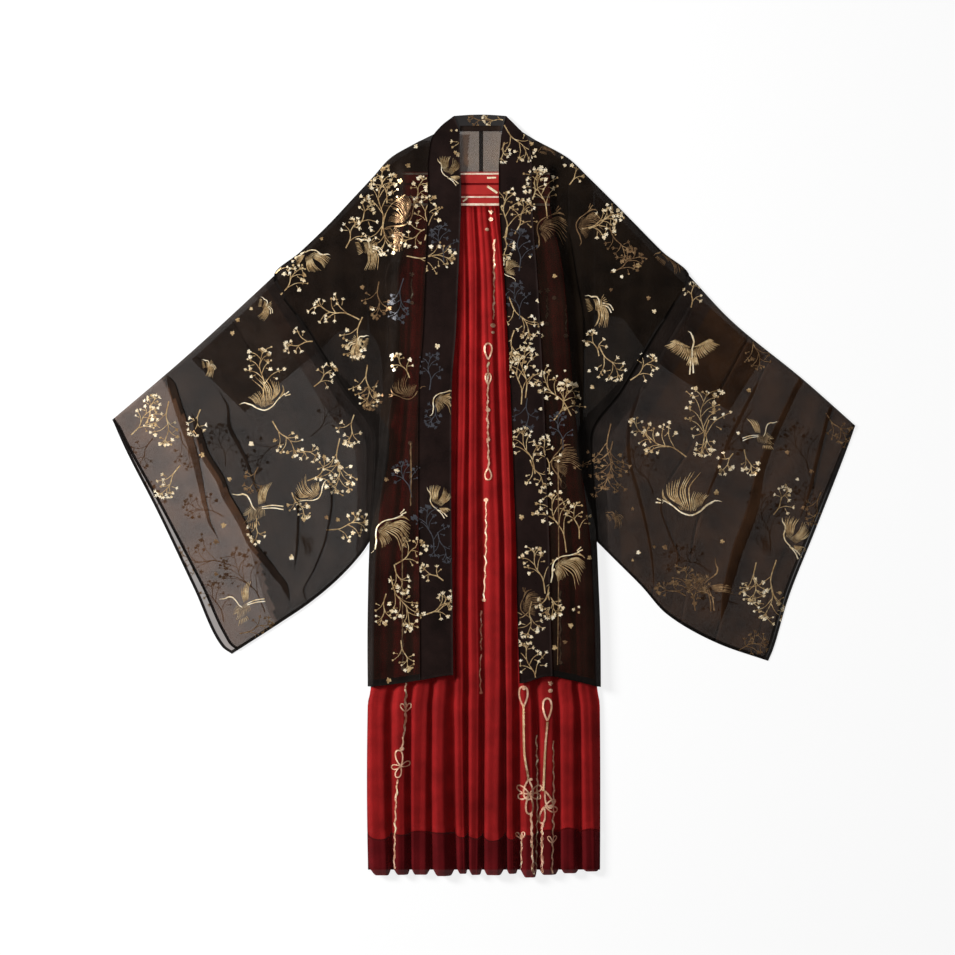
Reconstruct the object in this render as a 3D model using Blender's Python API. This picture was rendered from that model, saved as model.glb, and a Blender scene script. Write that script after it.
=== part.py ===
"""A three-piece hanfu set laid flat, face up: a sheer open robe with wide sleeves over a pleated
chest-high skirt, with a short inner top beneath the skirt.

Metres. X runs across the garment, Y from the hems up to the neck, Z up from the surface it lies on.
"left" and "right" are the sides as seen from above with the neck at the far end (-X and +X).
Each piece of cloth is a wall on a grid of points; whatever lies on it starts a gap above it.
"""

import math
from collections import namedtuple

import bmesh
import bpy

WALL = 0.0010  # one layer of cloth
BAND_WALL = 0.0020  # a folded band: collar, chest band
GAP = 0.0003  # between neighbouring pieces
STEP = WALL + GAP
SEAM = 0.0003

ROBE_BACK_Z = 0.0
INNER_BACK_Z = STEP
INNER_FRONT_Z = 2 * STEP
SLEEVE_FRONT_Z = 3 * STEP  # clears the inner sleeve inside the robe's sleeve

COLLAR_WIDTH = 0.061
CENTRE_BACK = -0.005
NECK_SEAM_Y = 0.6745
NECK_OPENING = (-0.044, 0.031)  # its sides at the back of the neck
INNER_NECK_Y = 0.6735
INNER_COLLAR_HEIGHT = 0.0105
INNER_COLLAR_TOP_Y = 0.650

# The robe's body, a row for each height: outer edges and the edges of the front opening.
Section = namedtuple("Section", "y left_edge left_open right_open right_edge")
BODY = [
    Section(0.656, -0.118, -0.0447, 0.0315, 0.098),
    Section(0.624, -0.173, -0.0440, 0.0280, 0.156),
    Section(0.591, -0.203, -0.0425, 0.0275, 0.191),
    Section(0.547, -0.244, -0.0415, 0.0275, 0.2355),
    Section(0.502, -0.286, -0.0430, 0.0300, 0.280),
    Section(0.450, -0.340, -0.0450, 0.0340, 0.3315),
    Section(0.406, -0.388, -0.0470, 0.0375, 0.380),
    Section(0.300, -0.322, -0.0515, 0.0435, 0.316),
    Section(0.200, -0.259, -0.0590, 0.0485, 0.256),
    Section(0.105, -0.200, -0.0600, 0.0525, 0.197),
    Section(0.000, -0.204, -0.0600, 0.0560, 0.203),
    Section(-0.085, -0.211, -0.0590, 0.0595, 0.209),
    Section(-0.155, -0.2135, -0.0580, 0.0605, 0.212),
    Section(-0.269, -0.215, -0.0570, 0.0630, 0.216),
    Section(-0.335, -0.2145, -0.0565, 0.0655, 0.2165),
]
SEAM_TOP_Y = 0.406  # the sleeve is joined from here ...
UNDERARM_Y = -0.085  # ... down to here

# The robe's hem, from side to side.
Hem = namedtuple("Hem", "x y")
ROBE_HEM = [
    Hem(-0.215, -0.353),
    Hem(-0.169, -0.348),
    Hem(-0.116, -0.340),
    Hem(-0.057, -0.331),
    Hem(0.065, -0.346),
    Hem(0.119, -0.333),
    Hem(0.165, -0.341),
    Hem(0.2165, -0.354),
]

# Edges of the two wide sleeves, from the join seam outwards.
Point = namedtuple("Point", "x y")
LEFT_SLEEVE = {
    "over": [Point(-0.388, 0.406), Point(-0.419, 0.377), Point(-0.549, 0.258), Point(-0.687, 0.140)],
    "cuff": [Point(-0.687, 0.140), Point(-0.663, 0.086), Point(-0.603, -0.031), Point(-0.536, -0.172),
             Point(-0.484, -0.280), Point(-0.466, -0.293)],
    "under": [Point(-0.211, -0.085), Point(-0.226, -0.107), Point(-0.269, -0.154), Point(-0.320, -0.197),
              Point(-0.379, -0.237), Point(-0.466, -0.293)],
    "join": [Point(row.left_edge, row.y) for row in BODY if UNDERARM_Y <= row.y <= SEAM_TOP_Y],
}
RIGHT_SLEEVE = {
    "over": [Point(0.380, 0.406), Point(0.457, 0.324), Point(0.591, 0.214), Point(0.687, 0.129)],
    "cuff": [Point(0.687, 0.129), Point(0.678, 0.103), Point(0.614, -0.062), Point(0.563, -0.191),
             Point(0.535, -0.285), Point(0.526, -0.306)],
    "under": [Point(0.209, -0.085), Point(0.246, -0.122), Point(0.292, -0.168), Point(0.338, -0.219),
              Point(0.434, -0.274), Point(0.526, -0.306)],
    "join": [Point(row.right_edge, row.y) for row in BODY if UNDERARM_Y <= row.y <= SEAM_TOP_Y],
}

# The largest folds of the wide sleeves: a row for each ridge, in shares of the way out (s) and down (t).
Fold = namedtuple("Fold", "s0 t0 s1 t1 height width")
LEFT_FOLDS = [
    Fold(0.80, 0.05, 0.72, 0.98, 0.0050, 0.045),
    Fold(0.60, 0.08, 0.50, 0.60, 0.0030, 0.050),
    Fold(0.28, 0.30, 0.30, 0.95, 0.0040, 0.060),
    Fold(0.08, 0.35, 0.12, 0.90, 0.0045, 0.050),
]
RIGHT_FOLDS = [
    Fold(0.82, 0.04, 0.70, 0.96, 0.0050, 0.045),
    Fold(0.62, 0.10, 0.48, 0.70, 0.0035, 0.050),
    Fold(0.30, 0.25, 0.26, 0.95, 0.0040, 0.060),
    Fold(0.09, 0.30, 0.12, 0.92, 0.0045, 0.050),
]

# The inner top, a row for each height of its body, and the edges of its narrow sleeves.
InnerSection = namedtuple("InnerSection", "y left_edge right_edge")
INNER_BODY = [
    InnerSection(0.645, -0.122, 0.104),
    InnerSection(0.616, -0.166, 0.150),
    InnerSection(0.570, -0.210, 0.200),
    InnerSection(0.566, -0.2145, 0.2045),
    InnerSection(0.400, -0.2145, 0.2045),
    InnerSection(0.305, -0.2120, 0.2030),
    InnerSection(0.280, -0.1950, 0.1880),
    InnerSection(0.240, -0.1880, 0.1830),
    InnerSection(0.165, -0.1860, 0.1820),
]
INNER_HEM_Y = 0.165
INNER_OPEN = {-1: -0.050, 1: 0.038}
INNER_COLLAR_WIDTH = 0.030
INNER_SLEEVES = {
    -1: {
        "over": [Point(-0.2150, 0.562), Point(-0.370, 0.408), Point(-0.540, 0.251)],
        "under": [Point(-0.2150, 0.306), Point(-0.256, 0.306), Point(-0.303, 0.269), Point(-0.358, 0.223),
                  Point(-0.442, 0.154)],
    },
    1: {
        "over": [Point(0.2050, 0.560), Point(0.362, 0.400), Point(0.518, 0.258)],
        "under": [Point(0.2050, 0.333), Point(0.250, 0.330), Point(0.287, 0.286), Point(0.315, 0.2525),
                  Point(0.383, 0.203), Point(0.4535, 0.156)],
    },
}

# The skirt's side edges, a row for each height.
SkirtSection = namedtuple("SkirtSection", "y left right")
SKIRT = [
    SkirtSection(0.534, -0.150, 0.122),
    SkirtSection(0.400, -0.160, 0.148),
    SkirtSection(0.180, -0.172, 0.166),
    SkirtSection(0.000, -0.190, 0.187),
    SkirtSection(-0.085, -0.198, 0.197),
    SkirtSection(-0.200, -0.205, 0.204),
    SkirtSection(-0.358, -0.2085, 0.2095),
    SkirtSection(-0.385, -0.2145, 0.2145),
    SkirtSection(-0.530, -0.2160, 0.2155),
    SkirtSection(-0.705, -0.2140, 0.2150),
]
SKIRT_TOP_Y = 0.534
BAND_TOP_Y = 0.598
LINING_HEM_Y = -0.622
BACK_HEM_Y = -0.682

# The skirt's pleats from left to right: widths under the chest band and at the hem, the ridge's
# height at both, and how far its hem hangs.
Pleat = namedtuple("Pleat", "top_width hem_width top_rise hem_rise hem_y")
PLEATS = [
    Pleat(0.024, 0.045, 0.0020, 0.0090, -0.701),
    Pleat(0.024, 0.035, 0.0024, 0.0105, -0.700),
    Pleat(0.024, 0.039, 0.0026, 0.0090, -0.700),
    Pleat(0.021, 0.046, 0.0030, 0.0130, -0.702),
    Pleat(0.020, 0.022, 0.0034, 0.0100, -0.698),
    Pleat(0.021, 0.028, 0.0036, 0.0120, -0.700),
    Pleat(0.022, 0.043, 0.0038, 0.0140, -0.700),
    Pleat(0.018, 0.024, 0.0036, 0.0105, -0.698),
    Pleat(0.019, 0.036, 0.0034, 0.0135, -0.7045),
    Pleat(0.022, 0.042, 0.0030, 0.0120, -0.700),
    Pleat(0.024, 0.038, 0.0024, 0.0105, -0.697),
    Pleat(0.027, 0.037, 0.0020, 0.0090, -0.694),
]
VALLEY_HEM_Y = -0.688
PLEAT_RISE_AT = 0.30  # share of a pleat's width where its ridge begins ...
PLEAT_FALL_AT = 0.82  # ... and where it ends

# Strips on the chest band: the two turns of the tie and the gold braid.
Strip = namedtuple("Strip", "low high layer")
TIES = {"skirt_tie_upper": Strip(0.5770, 0.5955, 1), "skirt_tie_lower": Strip(0.5560, 0.5735, 1)}
BRAIDS = {
    "skirt_braid_top": Strip(0.5925, 0.5955, 2),
    "skirt_braid_middle": Strip(0.5500, 0.5525, 1),
    "skirt_braid_bottom": Strip(0.5355, 0.5395, 1),
}


def between(a, b, share):
    return a + (b - a) * share


def ramp(value, start, end):
    """0 before start, 1 after end."""
    return min(1.0, max(0.0, (value - start) / (end - start)))


def column_at(table, y, column):
    """A table's column at a height, straight between its rows, which run downwards."""
    for upper, lower in zip(table, table[1:]):
        if y >= lower.y:
            share = ramp(upper.y - y, 0.0, upper.y - lower.y)
            return between(getattr(upper, column), getattr(lower, column), share)
    return getattr(table[-1], column)


def hem_at(x):
    for a, b in zip(ROBE_HEM, ROBE_HEM[1:]):
        if x <= b.x:
            return between(a.y, b.y, ramp(x, a.x, b.x))
    return ROBE_HEM[-1].y


def along(points, share):
    """The point at a share of a line's length."""
    lengths = [math.dist(a, b) for a, b in zip(points, points[1:])]
    left = share * sum(lengths)
    for a, b, length in zip(points, points[1:], lengths):
        if left <= length:
            return between(a[0], b[0], left / length), between(a[1], b[1], left / length)
        left -= length
    return points[-1][0], points[-1][1]


def corner_shares(points):
    """How far along a line each of its points lies, as a share of its length."""
    lengths = [math.dist(a, b) for a, b in zip(points, points[1:])]
    return [sum(lengths[:k]) / sum(lengths) for k in range(len(points))]


def with_corners(shares, points):
    """Shares of a line that include its own corners and none right beside them."""
    corners = corner_shares(points)
    kept = [share for share in shares if min(abs(share - corner) for corner in corners) > 0.02]
    return sorted(corners + kept)


def patch_point(edges, s, t):
    """A point of the patch between four edges: s from join to cuff, t from over to under."""
    over, under = along(edges["over"], s), along(edges["under"], s)
    join, cuff = along(edges["join"], t), along(edges["cuff"], t)
    corners = edges["over"][0], edges["over"][-1], edges["under"][0], edges["under"][-1]
    point = []
    for axis in (0, 1):
        top = between(corners[0][axis], corners[1][axis], s)
        bottom = between(corners[2][axis], corners[3][axis], s)
        straight = between(top, bottom, t)
        across = between(join[axis], cuff[axis], s)
        down = between(over[axis], under[axis], t)
        point.append(across + down - straight)
    return point[0], point[1]


def material(name, colour, roughness):
    made = bpy.data.materials.get(name) or bpy.data.materials.new(name)
    made.use_nodes = True
    shader = made.node_tree.nodes["Principled BSDF"]
    shader.inputs["Base Color"].default_value = (*colour, 1.0)
    shader.inputs["Roughness"].default_value = roughness
    shader.inputs["Metallic"].default_value = 0.0
    return made


CHIFFON = dict(name="black_chiffon", colour=(0.016, 0.011, 0.010), roughness=0.75)
INNER_CLOTH = dict(name="black_inner_chiffon", colour=(0.030, 0.022, 0.020), roughness=0.75)
RED_SHEER = dict(name="red_sheer", colour=(0.33, 0.016, 0.017), roughness=0.7)
RED_LINING = dict(name="red_lining", colour=(0.42, 0.020, 0.018), roughness=0.6)
BRAID = dict(name="gold_braid", colour=(0.75, 0.50, 0.26), roughness=0.45)


def steepness(rows, i, j):
    """How much taller than its wall a sloping sheet stands at a grid point."""
    worst = 1.0
    for di, dj in ((1, 0), (-1, 0), (0, 1), (0, -1)):
        a, b = i + di, j + dj
        if 0 <= a < len(rows) and 0 <= b < len(rows[a]):
            p, q = rows[i][j], rows[a][b]
            flat = math.hypot(q[0] - p[0], q[1] - p[1])
            if flat > 1e-6:
                worst = max(worst, math.hypot(flat, q[2] - p[2]) / flat)
    return min(worst, 1.6)


def raised(rows, wall, gap=0.0):
    """The grid one wall, and a gap, above another."""
    return [
        [(p[0], p[1], p[2] + wall * steepness(rows, i, j) + gap) for j, p in enumerate(row)]
        for i, row in enumerate(rows)
    ]


def sheet(name, rows, wall, finish):
    """A closed wall of cloth above a grid of points."""
    top = raised(rows, wall)
    mesh = bmesh.new()
    under = [[mesh.verts.new(p) for p in row] for row in rows]
    over = [[mesh.verts.new(p) for p in row] for row in top]
    tall, wide = len(rows), len(rows[0])
    for i in range(tall - 1):
        for j in range(wide - 1):
            mesh.faces.new([under[i][j], under[i][j + 1], under[i + 1][j + 1], under[i + 1][j]])
            mesh.faces.new([over[i][j], over[i + 1][j], over[i + 1][j + 1], over[i][j + 1]])
    rim = [(0, j) for j in range(wide)] + [(i, wide - 1) for i in range(1, tall)]
    rim += [(tall - 1, j) for j in range(wide - 2, -1, -1)] + [(i, 0) for i in range(tall - 2, 0, -1)]
    for (i, j), (k, l) in zip(rim, rim[1:] + rim[:1]):
        mesh.faces.new([under[i][j], over[i][j], over[k][l], under[k][l]])
    bmesh.ops.triangulate(mesh, faces=mesh.faces[:])
    bmesh.ops.recalc_face_normals(mesh, faces=mesh.faces[:])
    data = bpy.data.meshes.new(name)
    mesh.to_mesh(data)
    mesh.free()
    made = bpy.data.objects.new(name, data)
    bpy.context.collection.objects.link(made)
    made.data.materials.append(material(**finish))
    return top


# ---- the skirt --------------------------------------------------------------------------------

SKIRT_ROWS = [0.534, 0.470, 0.340, 0.166, 0.150, 0.000, -0.150, -0.300, -0.358, -0.372, -0.385, -0.500,
              LINING_HEM_Y]
OUTER_ROWS = [-0.638, -0.670]


def skirt_floor(y):
    """What the skirt's back lies on: the inner top and the robe's back, then the bare surface."""
    inner = (INNER_FRONT_Z + STEP - INNER_BACK_Z) * ramp(y, 0.150, INNER_HEM_Y)
    robe = STEP * ramp(y, -0.372, -0.358)
    return inner + robe


def pleat_columns():
    """For each grid column: its share across at the top and at the hem, the pleat it is in and
    whether it is on the ridge."""
    top_total = sum(p.top_width for p in PLEATS)
    hem_total = sum(p.hem_width for p in PLEATS)
    columns, top, hem = [], 0.0, 0.0
    for pleat in PLEATS:
        for share, ridge in ((0.0, 0), (PLEAT_RISE_AT, 1), (PLEAT_FALL_AT, 1)):
            columns.append(((top + share * pleat.top_width) / top_total,
                            (hem + share * pleat.hem_width) / hem_total, pleat, ridge))
        top += pleat.top_width
        hem += pleat.hem_width
    columns.append((1.0, 1.0, PLEATS[-1], 0))
    return columns


def skirt_down(y):
    """Share of the way from the chest band to the hem."""
    return ramp(-y, -SKIRT_TOP_Y, 0.700)


def pleat_rise(pleat, y):
    return between(pleat.top_rise, pleat.hem_rise, skirt_down(y) ** 0.8)


def tallest_pleat(y):
    return max(pleat_rise(pleat, y) for pleat in PLEATS)


def pleated_row(y, level, at_hem=False):
    row = []
    for top_share, hem_share, pleat, ridge in pleat_columns():
        share = between(top_share, hem_share, skirt_down(y))
        x = between(column_at(SKIRT, y, "left"), column_at(SKIRT, y, "right"), share)
        end = (pleat.hem_y if ridge else VALLEY_HEM_Y) if at_hem else y
        row.append((x, end, level + ridge * pleat_rise(pleat, y)))
    return row


def plain_rows(heights, edge, level, columns):
    """Flat rows from left to right edge; edge(y) gives both."""
    rows = []
    for y in heights:
        left, right = edge(y)
        rows.append([(between(left, right, k / columns), y, level(y)) for k in range(columns + 1)])
    return rows


def skirt_edges(y):
    return column_at(SKIRT, y, "left"), column_at(SKIRT, y, "right")


def build_skirt():
    back = plain_rows(SKIRT_ROWS + OUTER_ROWS + [BACK_HEM_Y], skirt_edges, skirt_floor, 4)
    top = sheet("skirt_back", back, WALL, RED_SHEER)
    count = len(SKIRT_ROWS)
    back_lining = [[(x, y, z + GAP) for x, y, z in row] for row in top[:count]]
    sheet("skirt_back_lining", back_lining, WALL, RED_LINING)

    lining = [pleated_row(y, skirt_floor(y) + 2.2 * STEP) for y in SKIRT_ROWS]
    sheet("skirt_front_lining", lining, WALL, RED_LINING)
    outer = raised(lining, WALL, GAP)
    outer += [pleated_row(y, 1.3 * STEP) for y in OUTER_ROWS]
    outer.append(pleated_row(-0.700, 1.1 * STEP, at_hem=True))
    sheet("skirt_front", outer, WALL, RED_SHEER)

    def band_edges(y):
        return SKIRT[0].left, SKIRT[0].right

    heights = [BAND_TOP_Y, SKIRT_TOP_Y + SEAM]
    floor = skirt_floor(BAND_TOP_Y)
    rows = plain_rows(heights, band_edges, lambda y: floor, 2)
    top = sheet("skirt_band_back", rows, BAND_WALL, RED_SHEER)
    above = top[0][0][2] + GAP
    rows = plain_rows(heights, band_edges, lambda y: above, 2)
    top = sheet("skirt_band_front", rows, BAND_WALL, RED_SHEER)
    band_face = top[0][0][2]

    def strips(table, finish):
        for name, strip in table.items():
            level = band_face + GAP + (strip.layer - 1) * STEP
            rows = plain_rows([strip.high, strip.low], band_edges, lambda y: level, 2)
            sheet(name, rows, WALL, finish)

    strips(TIES, RED_LINING)
    strips(BRAIDS, BRAID)


# ---- the inner top ----------------------------------------------------------------------------

def inner_edges(y):
    return column_at(INNER_BODY, y, "left_edge"), column_at(INNER_BODY, y, "right_edge")


def build_inner_top():
    heights = [section.y for section in INNER_BODY]
    neck = (NECK_OPENING[0] + WALL, NECK_OPENING[1] - WALL)
    back = plain_rows(heights, inner_edges, lambda y: INNER_BACK_Z, 2)
    back.insert(0, [(x, INNER_NECK_Y, INNER_BACK_Z) for x in (neck[0], sum(neck) / 2, neck[1])])
    sheet("inner_back", back, WALL, INNER_CLOTH)
    ends = (INNER_NECK_Y + INNER_COLLAR_HEIGHT, INNER_NECK_Y + SEAM)
    collar = [[(x, y, INNER_BACK_Z + WALL) for x in NECK_OPENING] for y in ends]
    sheet("inner_collar_back", collar, WALL, INNER_CLOTH)
    for side, label in ((-1, "left"), (1, "right")):
        opening = INNER_OPEN[side]
        seam = opening + side * INNER_COLLAR_WIDTH
        front = []
        for y in heights:
            edge = inner_edges(y)[0 if side < 0 else 1]
            front.append([(between(edge, seam, k / 2), y, INNER_FRONT_Z) for k in range(3)])
        sheet(f"inner_front_{label}", front, WALL, INNER_CLOTH)
        across = (seam - side * SEAM, opening)
        band = [[(x, y, INNER_FRONT_Z) for x in across] for y in (INNER_COLLAR_TOP_Y, INNER_HEM_Y)]
        sheet(f"inner_collar_{label}", band, WALL, INNER_CLOTH)
        edges = INNER_SLEEVES[side]
        for wall, level in (("back", INNER_BACK_Z), ("front", INNER_FRONT_Z)):
            rows = []
            for k in range(7):
                over, under = along(edges["over"], k / 6), along(edges["under"], k / 6)
                rows.append([(*over, level), (*under, level)])
            sheet(f"inner_sleeve_{label}_{wall}", rows, WALL, INNER_CLOTH)


# ---- the robe ---------------------------------------------------------------------------------

EDGE_DROP = 0.006  # how far in from an outer edge the front stands clear of the back
OVER_SKIRT = (0.010, 0.002)  # the robe's front rises over the skirt between these distances


def robe_front_z(x, y):
    """The underside of the robe's front: over the sleeves and inner top, and up over the skirt."""
    left, right = skirt_edges(y)
    inside = min(x - left, right - x)
    over = ramp(inside, -OVER_SKIRT[0], -OVER_SKIRT[1])
    over *= 1.0 - ramp(y, BAND_TOP_Y + 0.004, BAND_TOP_Y + 0.014)
    plain = SLEEVE_FRONT_Z
    above = skirt_floor(y) + 4.6 * STEP + tallest_pleat(y)
    if y > SKIRT_TOP_Y - 0.02:
        above = max(above, skirt_floor(y) + 2 * BAND_WALL + 4 * GAP + 2 * WALL + GAP)
    return between(plain, above, over)


ROBE_ROWS = [0.656, 0.640, 0.613, 0.601, 0.575, 0.525, 0.465, SEAM_TOP_Y, 0.400, 0.300, 0.200, 0.166, 0.150,
             0.105, 0.0, -0.078, UNDERARM_Y, -0.105, -0.155, -0.269, -0.325]


def build_robe_fronts():
    for side, label in ((-1, "left"), (1, "right")):
        rows = []
        for y in ROBE_ROWS + [None]:
            at_hem = y is None
            y = -0.335 if at_hem else y
            outer = column_at(BODY, y, f"{label}_edge")
            opening = column_at(BODY, y, f"{label}_open")
            seam = opening + side * (COLLAR_WIDTH + SEAM)
            if y > 0.6:
                seam = COLLAR_SHOULDER[side](y) + side * SEAM
            skirt = skirt_edges(y)[0 if side < 0 else 1]
            drop = outer - side * min(EDGE_DROP, 0.4 * abs(outer - seam))
            foot = skirt + side * (OVER_SKIRT[0] + 0.001)
            crest = skirt + side * (OVER_SKIRT[1] - 0.0005)
            if side * (drop - foot) < 0.004:
                foot = drop - side * 0.0004
            if side * (foot - crest) < 0.0004:
                crest = foot - side * 0.0004
            if side * (crest - seam) < 0.004:
                foot, crest = between(drop, seam, 0.4), between(drop, seam, 0.7)
            middle = between(drop, foot, 0.5)
            points = [outer, drop, middle, foot, crest, between(crest, seam, 0.5), seam]
            joined = UNDERARM_Y < y < SEAM_TOP_Y
            row = []
            for k, x in enumerate(points):
                z = robe_front_z(x, y)
                if k == 0:
                    z = SLEEVE_FRONT_Z if joined else STEP
                elif y < UNDERARM_Y:
                    z = robe_front_z(crest, y)
                row.append((x, hem_at(x) if at_hem else y, z))
            rows.append(row)
        sheet(f"robe_front_{label}", rows, WALL, CHIFFON)


# The collar's ends at the neck, a row for each cut across it: inner and outer points.
CollarCut = namedtuple("CollarCut", "inner_x inner_y outer_x outer_y")
COLLAR_NECK = {
    -1: [CollarCut(-0.045, 0.675, -0.055, 0.702), CollarCut(-0.0445, 0.662, -0.080, 0.682),
         CollarCut(-0.044, 0.640, -0.098, 0.656), CollarCut(-0.043, 0.600, -0.1035, 0.604)],
    1: [CollarCut(0.034, 0.675, 0.041, 0.702), CollarCut(0.032, 0.662, 0.062, 0.681),
        CollarCut(0.030, 0.640, 0.083, 0.656), CollarCut(0.0275, 0.600, 0.0885, 0.604)],
}
COLLAR_SHOULDER = {
    -1: lambda y: between(-0.1035, -0.098, ramp(y, 0.604, 0.656)),
    1: lambda y: between(0.0885, 0.083, ramp(y, 0.604, 0.656)),
}


def build_collar():
    for side, label in ((-1, "left"), (1, "right")):
        rows = []
        for k, cut in enumerate(COLLAR_NECK[side]):
            ends = (cut.inner_x, cut.inner_y), (cut.outer_x, cut.outer_y)
            middle = between(ends[0][0], ends[1][0], 0.5), between(ends[0][1], ends[1][1], 0.5)
            rows.append([
                (x, y, 1.8 * STEP if k == 0 else max(SLEEVE_FRONT_Z, robe_front_z(ends[0][0], y)))
                for x, y in (ends[0], middle, ends[1])
            ])
        for y in ROBE_ROWS[ROBE_ROWS.index(0.575):] + [None]:
            at_hem = y is None
            y = -0.335 if at_hem else y
            opening = column_at(BODY, y, f"{label}_open")
            row = []
            for k in range(3):
                x = opening + side * COLLAR_WIDTH * k / 2
                row.append((x, hem_at(x) if at_hem else y, robe_front_z(opening, y)))
            rows.append(row)
        sheet(f"robe_collar_{label}", rows, BAND_WALL, CHIFFON)
    left, right = COLLAR_NECK[-1][0], COLLAR_NECK[1][0]
    low, high = [], []
    for k in range(5):
        share = k / 4
        arch = 0.0025 * math.sin(math.pi * share)
        low_x = between(left.inner_x + 2 * SEAM, right.inner_x - 2 * SEAM, share)
        high_x = between(left.outer_x + 2 * SEAM, right.outer_x - 2 * SEAM, share)
        low.append((low_x, left.inner_y + SEAM, 0.0))
        high.append((high_x, left.outer_y + arch, 0.0))
    sheet("robe_collar_back", [high, low], BAND_WALL, CHIFFON)


def build_robe_back():
    for side, label in ((-1, "left"), (1, "right")):
        middle = CENTRE_BACK + side * SEAM / 2
        neck_edge = {-1: -0.080, 1: 0.068}[side]
        rows = [[(between(neck_edge, middle, k / 3), NECK_SEAM_Y, ROBE_BACK_Z) for k in range(4)]]
        for section in BODY:
            edge = getattr(section, f"{label}_edge")
            at_hem = section is BODY[-1]
            row = []
            for k in range(4):
                x = between(edge, middle, k / 3)
                row.append((x, hem_at(x) if at_hem else section.y, ROBE_BACK_Z))
            rows.append(row)
        sheet(f"robe_back_{label}", rows, WALL, CHIFFON)


def fold_height(folds, s, t):
    total = 0.0
    for fold in folds:
        run = ((s - fold.s0) * (fold.s1 - fold.s0) + (t - fold.t0) * (fold.t1 - fold.t0)) / (
            (fold.s1 - fold.s0) ** 2 + (fold.t1 - fold.t0) ** 2)
        run = min(1.0, max(0.0, run))
        away = math.hypot(s - between(fold.s0, fold.s1, run), t - between(fold.t0, fold.t1, run))
        total += fold.height * math.exp(-((away / fold.width) ** 2))
    return total


def build_sleeves():
    sleeves = (-1, "left", LEFT_SLEEVE, LEFT_FOLDS), (1, "right", RIGHT_SLEEVE, RIGHT_FOLDS)
    for side, label, edges, folds in sleeves:
        rows = []
        for t in with_corners((0.55, 0.90), edges["join"]):
            row = []
            for s in (0.0, 0.2, 0.4, 0.6, 0.8, 1.0):
                x, y = patch_point(edges, s, t)
                row.append((x + side * SEAM, y, ROBE_BACK_Z))
            rows.append(row)
        sheet(f"robe_sleeve_{label}_back", rows, WALL, CHIFFON)
        rows = []
        inner_rows = with_corners((0.10, 0.34, 0.48, 0.58, 0.92), edges["join"])[1:-1]
        for t in [0.0, 0.014] + inner_rows + [0.986, 1.0]:
            row = []
            for s in (0.0, 0.08, 0.18, 0.28, 0.39, 0.50, 0.61, 0.71, 0.80, 0.89, 0.97, 1.0):
                x, y = patch_point(edges, s, t)
                edge = min(ramp(t, 0.0, 0.014), ramp(1.0 - t, 0.0, 0.014))
                swell = fold_height(folds, s, t) * ramp(s, 0.0, 0.08)
                swell *= ramp(t, 0.0, 0.1) * ramp(1.0 - t, 0.0, 0.07)
                z = between(STEP, SLEEVE_FRONT_Z, edge * between(1.0, 0.3, ramp(s, 0.97, 1.0))) + swell
                row.append((x + side * SEAM, y, z))
            rows.append(row)
        sheet(f"robe_sleeve_{label}_front", rows, WALL, CHIFFON)


def main():
    for old in list(bpy.data.objects):
        bpy.data.objects.remove(old, do_unlink=True)
    build_robe_back()
    build_sleeves()
    build_inner_top()
    build_skirt()
    build_robe_fronts()
    build_collar()


main()
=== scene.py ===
"""The looks of a three-piece hanfu set laid flat: a sheer black robe printed with gold foil, over a
pleated red skirt and a short black inner top.

Metres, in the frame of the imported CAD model. X runs across the garment, Y from the hems up to the
neck, Z up from the surface it lies on. Each cloth is a thin closed shell on its CAD solid's form,
with its folds, tucks and hems modelled, and the foil is a thin mesh laid on the cloth.
"""

import math
from collections import namedtuple

import bpy
import numpy as np
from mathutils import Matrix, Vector
from mathutils.bvhtree import BVHTree


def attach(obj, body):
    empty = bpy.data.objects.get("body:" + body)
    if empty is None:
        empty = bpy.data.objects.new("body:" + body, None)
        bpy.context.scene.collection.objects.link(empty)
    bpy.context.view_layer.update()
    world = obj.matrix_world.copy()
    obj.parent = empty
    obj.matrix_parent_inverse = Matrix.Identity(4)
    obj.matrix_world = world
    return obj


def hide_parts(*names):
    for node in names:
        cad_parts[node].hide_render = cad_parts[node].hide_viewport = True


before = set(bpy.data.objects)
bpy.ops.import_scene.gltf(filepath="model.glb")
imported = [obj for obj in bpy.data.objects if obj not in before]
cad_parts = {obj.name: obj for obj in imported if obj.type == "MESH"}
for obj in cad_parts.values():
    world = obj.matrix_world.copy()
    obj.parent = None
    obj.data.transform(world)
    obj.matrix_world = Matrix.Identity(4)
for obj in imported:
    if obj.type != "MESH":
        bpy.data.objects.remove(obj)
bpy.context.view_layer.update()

# ---- sizes, as in the CAD -----------------------------------------------------------------------

WALL = 0.0010  # one CAD layer of cloth
BAND_WALL = 0.0020  # a CAD band of folded cloth
STEP = 0.0013  # from one layer to the next
CLOTH = 0.0003  # real thickness of the shells of chiffon
BAND = 0.0011  # and of a folded band
SEAM = 0.0003  # between neighbouring pieces
MIDDLE = WALL / 2

INNER_BACK_Z = STEP
INNER_FRONT_Z = 2 * STEP
SLEEVE_FRONT_Z = 3 * STEP

COLLAR_WIDTH = 0.061
CENTRE_BACK = -0.005
SEAM_TOP_Y = 0.406
UNDERARM_Y = -0.085

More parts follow.
